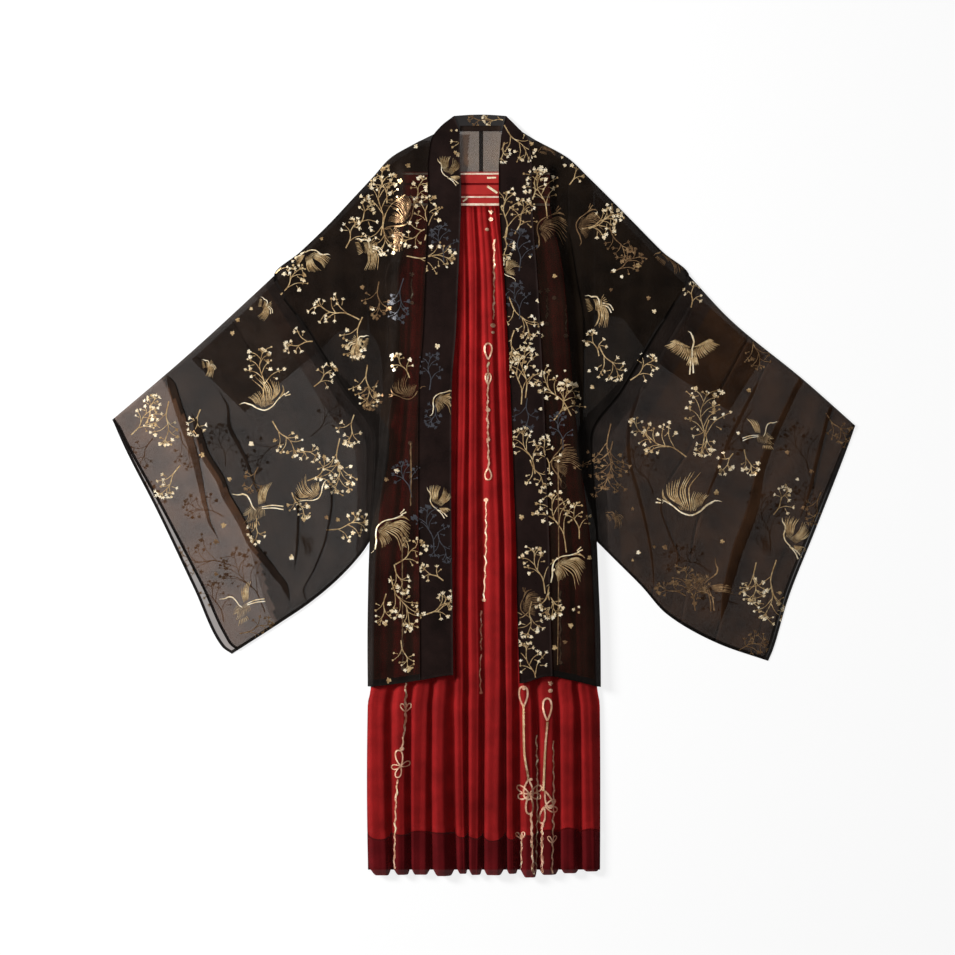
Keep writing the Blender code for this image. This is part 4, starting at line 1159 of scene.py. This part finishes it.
Print = namedtuple("Print", "kind x y turn size tone")
PRINTS = [Print(*row) for row in (
    # the left sleeve
    ("climb", -0.315, 0.445, -120, 0.85, 1),
    ("dive", -0.215, 0.455, 0, 0.95, 1),
    ("dive", -0.170, 0.480, 8, 0.75, 2),
    ("dive", -0.405, 0.350, -28, 0.60, 1),
    ("dive", -0.230, 0.280, 0, -0.75, 1),
    ("soar", -0.405, 0.175, 12, -0.95, 1),
    ("soar", -0.315, 0.005, 38, 0.75, 1),
    ("stand", -0.420, -0.025, 0, 1.00, 1),
    ("stand", -0.445, -0.205, 14, 0.85, 1),
    ("dive", -0.510, 0.240, -5, 0.50, 1),
    ("soar", -0.150, 0.515, 40, -0.90, 2),
    ("branch", -0.190, 0.540, 0, 1.00, 0),
    ("branch", -0.355, 0.400, -35, 0.60, 0),
    ("sprig", -0.275, 0.340, 72, 0.80, 0),
    ("branch", -0.410, 0.230, 2, 0.85, 0),
    ("sprig", -0.295, 0.220, -45, 0.45, 0),
    ("branch", -0.215, 0.200, 180, 0.70, 1),
    ("branch", -0.365, 0.105, -142, 0.70, 0),
    ("sprig", -0.325, 0.080, -110, 0.35, 1),
    ("branch", -0.270, 0.050, 176, 0.95, 0),
    ("branch", -0.630, 0.140, -38, 0.60, 1),
    ("branch", -0.585, 0.130, 176, 0.75, 1),
    ("sprig", -0.580, 0.025, 148, 0.62, 1),
    ("sprig", -0.530, 0.135, 165, 0.42, 0),
    ("branch", -0.250, -0.055, -78, 0.70, 1),
    ("sprig", -0.420, -0.065, 178, 0.40, 1),
    ("sprig", -0.420, -0.245, -72, 0.55, 2),
    # left shoulder and front
    ("branch", -0.105, 0.515, -5, 0.75, 1),
    ("branch", -0.095, 0.440, -92, 0.80, 0),
    ("sprig", -0.205, 0.185, 160, 0.50, 2),
    ("soar", -0.140, 0.190, 15, 0.70, 2),
    ("branch", -0.150, 0.240, 30, 0.45, 1),
    ("soar", -0.080, 0.175, -128, 0.70, 1),
    ("climb", -0.070, 0.600, 5, 0.75, 1),
    ("soar", -0.180, -0.065, -128, 1.00, 1),
    ("climb", -0.090, -0.010, 0, 0.80, 1),
    ("branch", -0.135, -0.105, -52, 0.60, 1),
    ("branch", -0.150, -0.200, 203, 0.95, 0),
    ("sprig", -0.080, -0.205, -62, 0.50, 1),
    # the right sleeve
    ("soar", 0.185, 0.500, -105, 0.80, 2),
    ("dive", 0.210, 0.350, 0, 0.95, 1),
    ("spread", 0.385, 0.265, 0, 1.15, 1),
    ("dive", 0.340, 0.440, 32, 0.85, 2),
    ("soar", 0.380, -0.015, 0, 1.20, 1),
    ("stand", 0.515, 0.110, 12, -0.75, 1),
    ("climb", 0.565, -0.075, -8, 1.00, 1),
    ("stand", 0.410, -0.165, -78, 1.00, 2),
    ("dive", 0.240, -0.040, 12, 0.55, 2),
    ("branch", 0.225, 0.510, -62, 0.60, 1),
    ("sprig", 0.250, 0.465, -150, 0.60, 2),
    ("sprig", 0.385, 0.370, -5, 0.38, 1),
    ("branch", 0.505, 0.265, 195, 0.60, 2),
    ("sprig", 0.235, 0.245, -145, 0.65, 1),
    ("sprig", 0.295, 0.235, -48, 0.55, 0),
    ("branch", 0.405, 0.140, -4, 1.15, 0),
    ("branch", 0.330, 0.095, 62, 0.85, 1),
    ("sprig", 0.230, 0.065, 176, 1.15, 2),
    ("sprig", 0.450, 0.060, 150, 0.35, 0),
    ("branch", 0.490, 0.060, -160, 0.45, 1),
    ("branch", 0.530, -0.180, 170, 1.05, 1),
    ("branch", 0.345, -0.175, 70, 0.50, 2),
    ("sprig", 0.380, -0.170, 14, 0.75, 2),
    ("sprig", 0.615, -0.025, 165, 0.55, 2),
    ("sprig", 0.485, -0.280, -75, 0.75, 2),
    ("sprig", 0.655, 0.125, -140, 0.60, 2),
    # right shoulder and front
    ("branch", 0.065, 0.650, -142, 0.75, 1),
    ("branch", 0.105, 0.560, 14, 0.85, 1),
    ("dive", 0.115, 0.640, 60, 0.50, 2),
    ("soar", 0.115, 0.495, -118, 0.90, 2),
    ("branch", 0.040, 0.520, 0, 0.85, 0),
    ("branch", 0.070, 0.515, -22, 0.60, 0),
    ("soar", 0.045, 0.415, -60, 0.50, 1),
    ("sprig", 0.070, 0.325, -150, 0.80, 0),
    ("sprig", 0.075, 0.230, 2, 0.85, 0),
    ("branch", 0.130, 0.190, 36, 0.90, 1),
    ("soar", 0.140, 0.060, -92, 0.85, 2),
    ("sprig", 0.080, 0.085, 18, 0.80, 0),
    ("sprig", 0.100, 0.040, -150, 0.50, 1),
    ("branch", 0.135, -0.045, 16, 1.05, 0),
    ("soar", 0.145, -0.130, -132, 0.95, 1),
    ("branch", 0.100, -0.135, 16, 0.80, 1),
    ("sprig", 0.120, -0.195, 178, 0.55, 0),
    ("soar", 0.080, -0.205, -75, 0.70, 2),
    ("sprig", 0.085, -0.310, 16, 0.80, 1),
    # collar at the neck
    ("sprig", -0.040, 0.650, 175, 0.40, 1),
    ("sprig", -0.005, 0.695, 80, 0.35, 2),
    ("sprig", 0.020, 0.695, 85, 0.35, 1),
    ("sprig", 0.035, 0.635, 170, 0.30, 1),
    # smaller ones between
    ("branch", -0.185, 0.480, 175, 0.70, 1),
    ("sprig", -0.245, 0.485, -20, 0.50, 0),
    ("branch", -0.235, 0.290, 165, 0.70, 1),
    ("sprig", -0.340, 0.280, 100, 0.50, 1),
    ("sprig", -0.370, 0.430, -40, 0.50, 0),
    ("branch", -0.195, 0.360, 178, 0.60, 2),
    ("sprig", 0.215, 0.505, -70, 0.60, 1),
    ("branch", 0.265, 0.430, -60, 0.60, 2),
    ("branch", 0.065, 0.215, 5, 0.80, 0),
    ("sprig", 0.050, 0.270, 170, 0.60, 0),
    ("branch", 0.150, 0.175, -30, 0.70, 1),
    ("sprig", 0.115, 0.075, 10, 0.60, 1),
    ("branch", 0.170, -0.045, 10, 0.60, 1),
    ("sprig", 0.085, -0.230, 175, 0.60, 0),
    ("branch", 0.125, -0.195, 185, 0.60, 1),
    ("sprig", -0.125, 0.480, 120, 0.50, 0),
    ("branch", -0.120, 0.565, -20, 0.45, 1),
    ("sprig", -0.155, -0.155, -160, 0.50, 0),
    ("branch", -0.185, -0.210, 170, 0.50, 1),
    ("sprig", -0.095, -0.145, 60, 0.40, 0),
    ("branch", -0.145, -0.295, 195, 0.50, 0),
    ("sprig", -0.070, -0.195, -40, 0.40, 0),
    ("sprig", -0.615, 0.160, -20, 0.50, 0),
    ("branch", -0.295, 0.045, -60, 0.60, 1),
    ("sprig", -0.245, 0.120, 170, 0.50, 0),
    ("branch", -0.340, -0.020, -150, 0.50, 1),
    ("sprig", -0.425, 0.030, 160, 0.40, 2),
    ("branch", 0.290, 0.120, 40, 0.50, 0),
    ("sprig", 0.410, 0.105, 170, 0.60, 0),
    ("branch", 0.235, 0.065, 175, 0.60, 2),
    ("sprig", 0.550, -0.010, -30, 0.50, 1),
    ("branch", 0.500, -0.165, 175, 0.70, 1),
    ("sprig", 0.400, -0.175, 60, 0.50, 2),
    ("sprig", 0.205, 0.280, 20, 0.40, 0),
    ("branch", 0.170, 0.595, -30, 0.40, 1),
    ("sprig", 0.095, 0.575, -10, 0.50, 0),
    ("sprig", 0.040, 0.465, 175, 0.50, 0),
    ("branch", -0.185, 0.575, 10, 0.60, 0),
    ("sprig", -0.220, 0.520, -30, 0.50, 0),
)]
# Single blossoms: place, radius in mm and tone.
BLOSSOMS = [
    (-0.225, 0.385, 5, 2), (-0.455, 0.325, 5, 1), (-0.465, 0.300, 5, 1), (-0.430, 0.345, 4, 1),
    (-0.300, 0.475, 4, 1), (-0.205, 0.345, 5, 0), (-0.430, 0.095, 6, 0), (-0.470, 0.030, 5, 1),
    (-0.520, 0.075, 6, 1), (-0.480, -0.055, 6, 1), (-0.495, -0.085, 6, 2), (-0.495, -0.145, 5, 2),
    (-0.355, -0.115, 6, 0), (-0.290, -0.040, 5, 2), (-0.270, -0.045, 5, 1), (-0.325, -0.020, 5, 0),
    (-0.140, 0.610, 6, 1), (-0.155, 0.580, 6, 1), (-0.125, 0.645, 5, 0), (-0.085, 0.275, 6, 0),
    (-0.160, 0.045, 6, 0), (-0.180, 0.030, 5, 2), (-0.175, -0.340, 6, 1), (-0.205, 0.600, 4, 1),
    (0.285, 0.425, 6, 1), (0.240, 0.415, 5, 0), (0.255, 0.405, 4, 0), (0.305, 0.365, 5, 2),
    (0.315, 0.340, 5, 0), (0.235, 0.380, 4, 2), (0.440, 0.190, 6, 0), (0.490, 0.195, 5, 1),
    (0.195, 0.230, 4, 0), (0.200, 0.200, 5, 0), (0.430, 0.005, 6, 1), (0.440, -0.085, 5, 1),
    (0.275, -0.025, 4, 2), (0.285, -0.105, 5, 0), (0.275, -0.120, 3, 1), (0.315, -0.095, 4, 2),
    (0.335, -0.095, 6, 2), (0.580, 0.030, 4, 0), (0.605, 0.045, 5, 2), (0.560, 0.080, 5, 2),
    (0.470, 0.115, 4, 0), (0.390, -0.200, 6, 2), (0.085, 0.440, 3, 0), (0.055, 0.460, 4, 0),
    (0.130, 0.405, 5, 1), (0.100, 0.360, 5, 0), (0.150, 0.160, 5, 1), (0.150, 0.230, 3, 0),
    (0.070, -0.040, 6, 1), (0.195, -0.115, 5, 1), (0.160, -0.240, 6, 1), (0.150, -0.270, 5, 2),
    (0.130, -0.280, 6, 1), (0.175, -0.205, 3, 0), (0.165, -0.210, 4, 0), (0.175, -0.215, 3, 1),
    (0.145, 0.625, 3, 0), (0.150, 0.610, 4, 0), (-0.350, -0.025, 3, 0), (-0.340, -0.025, 3, 0),
    (-0.340, -0.015, 3, 0), (0.555, 0.010, 3, 0), (-0.050, 0.675, 3, 0), (-0.060, 0.675, 3, 1),
    (0.105, 0.160, 4, 0),
]
# The prints on the outside of the back walls, which show through as dark shapes
BACK_PRINTS = [Print(*row, GOLD) for row in (
    ("branch", -0.520, -0.120, 80, 0.90),
    ("branch", -0.440, -0.155, 30, 1.20),
    ("sprig", -0.485, 0.095, 10, 0.70),
    ("branch", -0.520, -0.025, 70, 0.70),
    ("branch", -0.290, 0.145, -40, 0.80),
    ("sprig", -0.550, 0.085, 200, 0.60),
    ("dive", -0.335, -0.085, 10, 0.70),
    ("sprig", -0.630, 0.075, 150, 0.60),
    ("branch", -0.410, 0.075, 120, 0.80),
    ("branch", -0.615, -0.010, 20, 0.70),
    ("sprig", -0.495, -0.195, 20, 0.70),
    ("branch", 0.585, 0.085, 20, 0.90),
    ("branch", 0.475, 0.270, -60, 0.80),
    ("branch", 0.520, -0.045, 10, 1.00),
    ("dive", 0.515, -0.085, 0, 0.60),
    ("branch", 0.380, -0.120, 60, 0.80),
    ("sprig", 0.290, 0.045, 30, 0.80),
    ("branch", 0.475, 0.120, 150, 0.80),
    ("sprig", 0.595, -0.010, 0, 0.60),
    ("branch", 0.435, -0.195, 80, 0.60),
)]
# Prints on the hidden fold of the collar, seen through it
FOLD_PRINTS = [Print(*row, BEHIND) for row in (
    ("sprig", -0.080, 0.465, 10, 0.60),
    ("branch", -0.100, 0.230, 0, 0.60),
    ("sprig", -0.090, 0.155, 160, 0.50),
    ("branch", -0.100, -0.060, 10, 0.80),
    ("sprig", -0.075, -0.095, 200, 0.50),
    ("sprig", 0.060, 0.360, 10, 0.60),
    ("branch", 0.065, 0.455, 0, 0.70),
    ("sprig", 0.080, 0.150, 180, 0.50),
    ("branch", -0.155, 0.360, 170, 0.70),
    ("sprig", -0.145, 0.030, 20, 0.60),
    ("branch", 0.140, 0.120, 10, 0.60),
)]
FOIL_SEED = 7

# The chains on the skirt: lines (width in mm, then points), loops (x, y, angle, length and width of
# the loop, width of its line, in mm from the angle on) and round beads (x, y, radius in mm).
CHAIN_LINES = [
    (5, [(0.073, -0.389), (0.074, -0.465), (0.082, -0.521)]),
    (5, [(0.117, -0.419), (0.113, -0.471), (0.110, -0.543)]),
    (3.2, [(0.087, -0.584), (0.089, -0.637), (0.091, -0.698)]),
    (3.2, [(0.108, -0.604), (0.107, -0.656), (0.108, -0.698)]),
    (1.8, [(0.097, -0.443), (0.099, -0.545), (0.097, -0.698)]),
    (1.8, [(0.128, -0.452), (0.129, -0.545), (0.126, -0.698)]),
    (2.2, [(0.071, -0.624), (0.069, -0.656), (0.069, -0.698)]),
    (2.6, [(-0.144, -0.345), (-0.144, -0.401), (-0.151, -0.467)]),
    (2.2, [(-0.159, -0.523), (-0.162, -0.563), (-0.166, -0.697)]),
    (1.8, [(-0.005, -0.293), (-0.007, -0.327), (-0.005, -0.364)]),
    (2.2, [(0.019, 0.473), (0.019, 0.399), (0.018, 0.325)]),
    (2.2, [(0.008, 0.247), (0.007, 0.158), (0.009, 0.051)]),
    (2.4, [(0.117, 0.369), (0.117, 0.351), (0.116, 0.325)]),
    (1.8, [(0.152, 0.352), (0.152, 0.325), (0.152, 0.301)]),
    (2.0, [(-0.134, 0.401), (-0.133, 0.380), (-0.133, 0.362)]),
    (2.2, [(-0.135, 0.092), (-0.135, 0.047), (-0.135, -0.018)]),
    (2.2, [(-0.151, -0.082), (-0.151, -0.110), (-0.151, -0.151)]),
    (2.0, [(-0.149, -0.179), (-0.150, -0.249), (-0.149, -0.319)]),
    (1.8, [(0.137, 0.010), (0.137, -0.008), (0.137, -0.031)]),
    (1.8, [(0.141, -0.175), (0.141, -0.249), (0.141, -0.304)]),
    (1.5, [(0.071, 0.010), (0.071, -0.082), (0.071, -0.193)]),
    (1.8, [(0.004, -0.008), (0.004, -0.082), (0.000, -0.193)]),
    (1.8, [(-0.005, -0.212), (-0.005, -0.249), (-0.005, -0.286)]),
]
CHAIN_LOOPS = [
    (0.073, -0.389, 90, 37, 20, 2.6),
    (0.117, -0.415, 90, 41, 20, 2.6),
    (0.082, -0.523, -90, 37, 22, 2.4),
    (0.084, -0.550, -90, 37, 17, 2.4),
    (0.084, -0.550, 200, 22, 13, 2.0),
    (0.084, -0.550, -20, 22, 13, 2.0),
    (0.084, -0.550, 150, 26, 13, 2.0),
    (0.084, -0.550, 30, 26, 13, 2.0),
    (0.113, -0.545, -70, 33, 15, 2.4),
    (0.113, -0.573, -20, 24, 13, 2.0),
    (0.113, -0.573, 30, 22, 11, 2.0),
    (0.111, -0.574, -100, 31, 13, 2.4),
    (-0.144, -0.399, 60, 17, 9, 1.8),
    (-0.144, -0.399, 120, 17, 9, 1.8),
    (-0.153, -0.499, 100, 30, 17, 2.0),
    (-0.153, -0.499, -110, 22, 13, 1.8),
    (-0.153, -0.499, 20, 18, 11, 1.6),
    (-0.153, -0.499, 190, 18, 11, 1.6),
    (0.126, -0.641, 60, 15, 7, 1.6),
    (0.126, -0.641, 120, 15, 7, 1.6),
    (0.069, -0.634, 70, 15, 7, 1.6),
    (0.069, -0.634, 130, 15, 7, 1.6),
    (-0.146, -0.073, 90, 26, 15, 2.0),
    (-0.146, -0.073, -90, 22, 13, 2.0),
    (0.141, 0.029, 90, 26, 15, 1.8),
    (0.141, 0.029, -60, 18, 11, 1.8),
    (0.008, 0.251, 90, 30, 17, 2.2),
    (0.008, 0.204, 90, 22, 13, 2.0),
    (0.008, 0.051, -90, 22, 15, 2.2),
]
CHAIN_BEADS = [
    (0.123, -0.347, 5.5), (0.123, -0.360, 4.0), (0.074, -0.356, 3.0), (0.013, 0.523, 5.0),
    (0.013, 0.510, 4.0), (0.006, 0.491, 3.5), (0.017, 0.314, 4.5), (0.017, 0.301, 3.0),
    (0.117, 0.378, 6.0), (0.116, 0.317, 4.5), (0.152, 0.295, 4.5), (-0.133, 0.408, 5.5),
    (-0.133, 0.356, 4.0), (-0.136, 0.097, 4.0), (-0.151, -0.175, 4.0), (-0.149, -0.249, 3.5),
    (-0.151, -0.290, 3.5), (-0.149, -0.319, 4.0), (0.141, -0.308, 4.0), (-0.151, -0.467, 4.0),
    (-0.166, -0.697, 5.0), (0.071, -0.698, 5.5), (0.087, -0.523, 3.0), (0.008, 0.158, 4.0),
    (0.008, 0.103, 3.5), (-0.005, -0.364, 3.0), (0.004, -0.008, 4.0), (0.000, -0.193, 3.5),
    (0.104, 0.376, 5.0), (0.130, 0.365, 4.0),
]


LINK_STEP = 0.011  # from one link of a thin chain to the next
ROPE_FROM = 4  # a line wider than this, in mm, is a twisted rope


def draw_links(ink, width, path):
    """A thin chain: a line under short leaf-shaped links that turn a little from side to side."""
    ink.stroke(path, 0.55 * width * MM, 0.45 * width * MM, COPPER)
    size = abs(path[0][1] - path[-1][1])
    count = max(2, int(size / LINK_STEP))
    random = np.random.default_rng(int(1000 * size))
    for k in range(count):
        share = (k + 0.5) / count
        x, y = (float(v) for v in along(path, share))
        turn = random.uniform(8, 24) * (1 if k % 2 else -1)
        half = random.uniform(0.0045, 0.0075)
        start, end = heading(x, y, 90 + turn, half), heading(x, y, 270 + turn, half)
        tone = COPPER if random.random() < 0.7 else BRIGHT
        wide = random.uniform(1.0, 1.9) * width * MM
        ink.stroke([start, end], wide, 0.4 * MM, tone, leaf=True, spacing=0.002)


def skirt_ink():
    ink = Ink()
    for width, path in CHAIN_LINES:
        if width < ROPE_FROM:
            draw_links(ink, width, path)
        else:
            ink.stroke(path, 0.6 * width * MM, 0.6 * width * MM, COPPER)
            for share in np.linspace(0.0, 1.0, 26):
                x, y = (float(v) for v in along(path, share))
                ink.petals(x, y, 0.45 * width * MM, GOLD, lobes=0)
    for x, y, angle, length, wide, line in CHAIN_LOOPS:
        turn = np.linspace(0.0, 2 * np.pi, 15)
        out = length * MM * (1 - np.cos(turn)) / 2
        aside = 0.8 * wide * MM * np.sin(turn) * np.sin(turn / 2) / 1.54
        c, s = math.cos(math.radians(angle)), math.sin(math.radians(angle))
        path = np.stack([x + out * c - aside * s, y + out * s + aside * c], axis=-1)
        ink.stroke(path, 1.25 * line * MM, 1.25 * line * MM, COPPER, spacing=0.003)
    for x, y, radius in CHAIN_BEADS:
        ink.petals(x, y, radius * MM, COPPER, lobes=0 if radius < 5 else 5)
    return ink


# The tie's stitched edges, where its end is tucked in: width in mm, then both ends.
BAND_LINES = [
    (4.6, (0.0032, 0.5735), (0.0282, 0.5562)),
    (3.0, (0.0301, 0.5710), (0.0301, 0.5562)),
    (3.6, (0.0060, 0.5865), (0.0227, 0.5870)),
    (3.0, (-0.0385, 0.5430), (-0.0300, 0.5495)),
]


def band_ink():
    ink = Ink()
    for width, start, end in BAND_LINES:
        ink.stroke([start, end], width * MM, 0.8 * width * MM, BRIGHT, spacing=0.002)
    return ink


# The skirt's chains where they shine through the robe's fronts.
SHOWING_LINES = [
    [(-0.135, 0.097), (-0.134, 0.040), (-0.135, -0.019)],
    [(-0.151, -0.055), (-0.150, -0.150), (-0.150, -0.262)],
    [(0.137, 0.062), (0.138, -0.100), (0.136, -0.312)],
]


def draw_prints(ink, prints):
    for number, row in enumerate(prints):
        random = np.random.default_rng(FOIL_SEED + number)
        if row.kind in CRANES:
            drawn = draw_crane(row.kind, random)
        else:
            drawn = draw_branch(row.kind == "sprig", abs(row.size), random)
        scale = row.size if row.kind in CRANES else math.copysign(1.0, row.size)
        ink.place(drawn, row.x, row.y, row.turn, scale, row.tone)
    return ink


def front_ink():
    ink = Ink()
    for path in SHOWING_LINES:
        ink.stroke(path, 2.0 * MM, 1.5 * MM, DIM)
    draw_prints(ink, PRINTS + FOLD_PRINTS)
    for x, y, radius, tone in BLOSSOMS:
        ink.petals(x, y, radius * MM, tone, 40 * x)
    return ink


def cloths_of(*names):
    return [bpy.data.objects[f"{name}_cloth"] for name in names]


def lay_foil(ink, cloths, suffix, from_below=False):
    """Lays the ink on the cloth it meets first, from above or below, as one piece for each cloth."""
    points, faces, owner = [], [], []
    for number, cloth in enumerate(cloths):
        base = len(points)
        points += [v.co.copy() for v in cloth.data.vertices]
        faces += [tuple(base + i for i in p.vertices) for p in cloth.data.polygons]
        owner += [number] * len(cloth.data.polygons)
    tree = BVHTree.FromPolygons(points, faces)
    start, way = (-0.05, 1.0) if from_below else (0.1, -1.0)
    placed, on = [], []
    for x, y in ink.points:
        hit, _, face, _ = tree.ray_cast(Vector((x, y, start)), Vector((0, 0, way)))
        placed.append((x, y, hit.z - way * FOIL_LIFT) if hit else None)
        on.append(owner[face] if hit else None)
    for number, cloth in enumerate(cloths):
        kept = [k for k, face in enumerate(ink.faces) if all(on[i] == number for i in face)]
        if not kept:
            continue
        used = sorted({i for k in kept for i in ink.faces[k]})
        index = {old: new for new, old in enumerate(used)}
        made = new_object(cloth.name.replace("_cloth", suffix), [placed[i] for i in used],
                          [tuple(index[i] for i in ink.faces[k]) for k in kept], FOIL_TONES[0])
        for finish in FOIL_TONES[1:]:
            made.data.materials.append(finish)
        made.data.polygons.foreach_set("material_index", [ink.tones[k] for k in kept])
        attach(made, "root")


# ---- floor, light and camera --------------------------------------------------------------------

VIEW_CENTRE = (-0.0116, 0.0333)
VIEW_WIDTH = 1.7667
LENS, SENSOR = 100.0, 36.0
FLOOR_HALF = 40.0  # half the floor's width, so that its edge is far out of sight


def build_stage():
    """A plain pale floor that glows a little, as a light table does."""
    n = Nodes("pale_floor")
    n.set(Base_Color=(0.26, 0.26, 0.26, 1.0), Roughness=0.9, Specular_IOR_Level=0.0,
          Emission_Color=(1.0, 1.0, 1.0, 1.0), Emission_Strength=0.78)
    half, z = FLOOR_HALF, -0.0006
    points = [(-half, -half, z), (half, -half, z), (half, half, z), (-half, half, z)]
    new_object("floor", points, [(0, 1, 2, 3)], n.material)


def area_light(name, place, aim, size, power, colour=(1.0, 1.0, 1.0)):
    data = bpy.data.lights.new(name, "AREA")
    data.shape = "RECTANGLE"
    data.size, data.size_y = size
    data.energy = power
    data.color = colour
    lamp = bpy.data.objects.new(name, data)
    lamp.location = place
    lamp.rotation_euler = (Vector(aim) - Vector(place)).to_track_quat("-Z", "Y").to_euler()
    bpy.context.scene.collection.objects.link(lamp)


def build_light():
    area_light("key", (-3.4, 1.2, 1.9), (0.0, 0.0, 0.0), (1.0, 1.0), 235.0)
    area_light("top", (0.0, 0.4, 4.0), (0.0, 0.0, 0.0), (3.0, 3.0), 26.0)
    world = bpy.data.worlds.new("studio")
    world.use_nodes = True
    world.node_tree.nodes["Background"].inputs["Color"].default_value = (1.0, 1.0, 1.0, 1.0)
    world.node_tree.nodes["Background"].inputs["Strength"].default_value = 0.15
    bpy.context.scene.world = world


def build_camera():
    data = bpy.data.cameras.new("camera")
    data.lens, data.sensor_width = LENS, SENSOR
    camera = bpy.data.objects.new("camera", data)
    camera.location = (*VIEW_CENTRE, VIEW_WIDTH * LENS / SENSOR)
    bpy.context.scene.collection.objects.link(camera)
    bpy.context.scene.camera = camera
    scene = bpy.context.scene
    scene.view_settings.view_transform = "Standard"
    scene.view_settings.look = "None"
    scene.cycles.transparent_max_bounces = 32


build_camera()
build_stage()
build_light()
build_robe_back()
build_sleeves()
build_inner_top()
build_skirt()
build_robe_fronts()
build_collar()
lay_foil(front_ink(), cloths_of(
    "robe_sleeve_left", "robe_sleeve_right", "robe_front_left", "robe_front_right", "robe_collar_left",
    "robe_collar_right", "robe_collar_back"), "_foil")
lay_foil(draw_prints(Ink(), BACK_PRINTS), cloths_of(
    "robe_sleeve_left", "robe_sleeve_right", "robe_back_left", "robe_back_right"), "_back_foil",
    from_below=True)
lay_foil(skirt_ink(), cloths_of("skirt_front"), "_foil")
lay_foil(band_ink(), cloths_of("skirt_tie_upper", "skirt_tie_lower", "skirt_band_front"), "_foil")

bpy.context.view_layer.update()
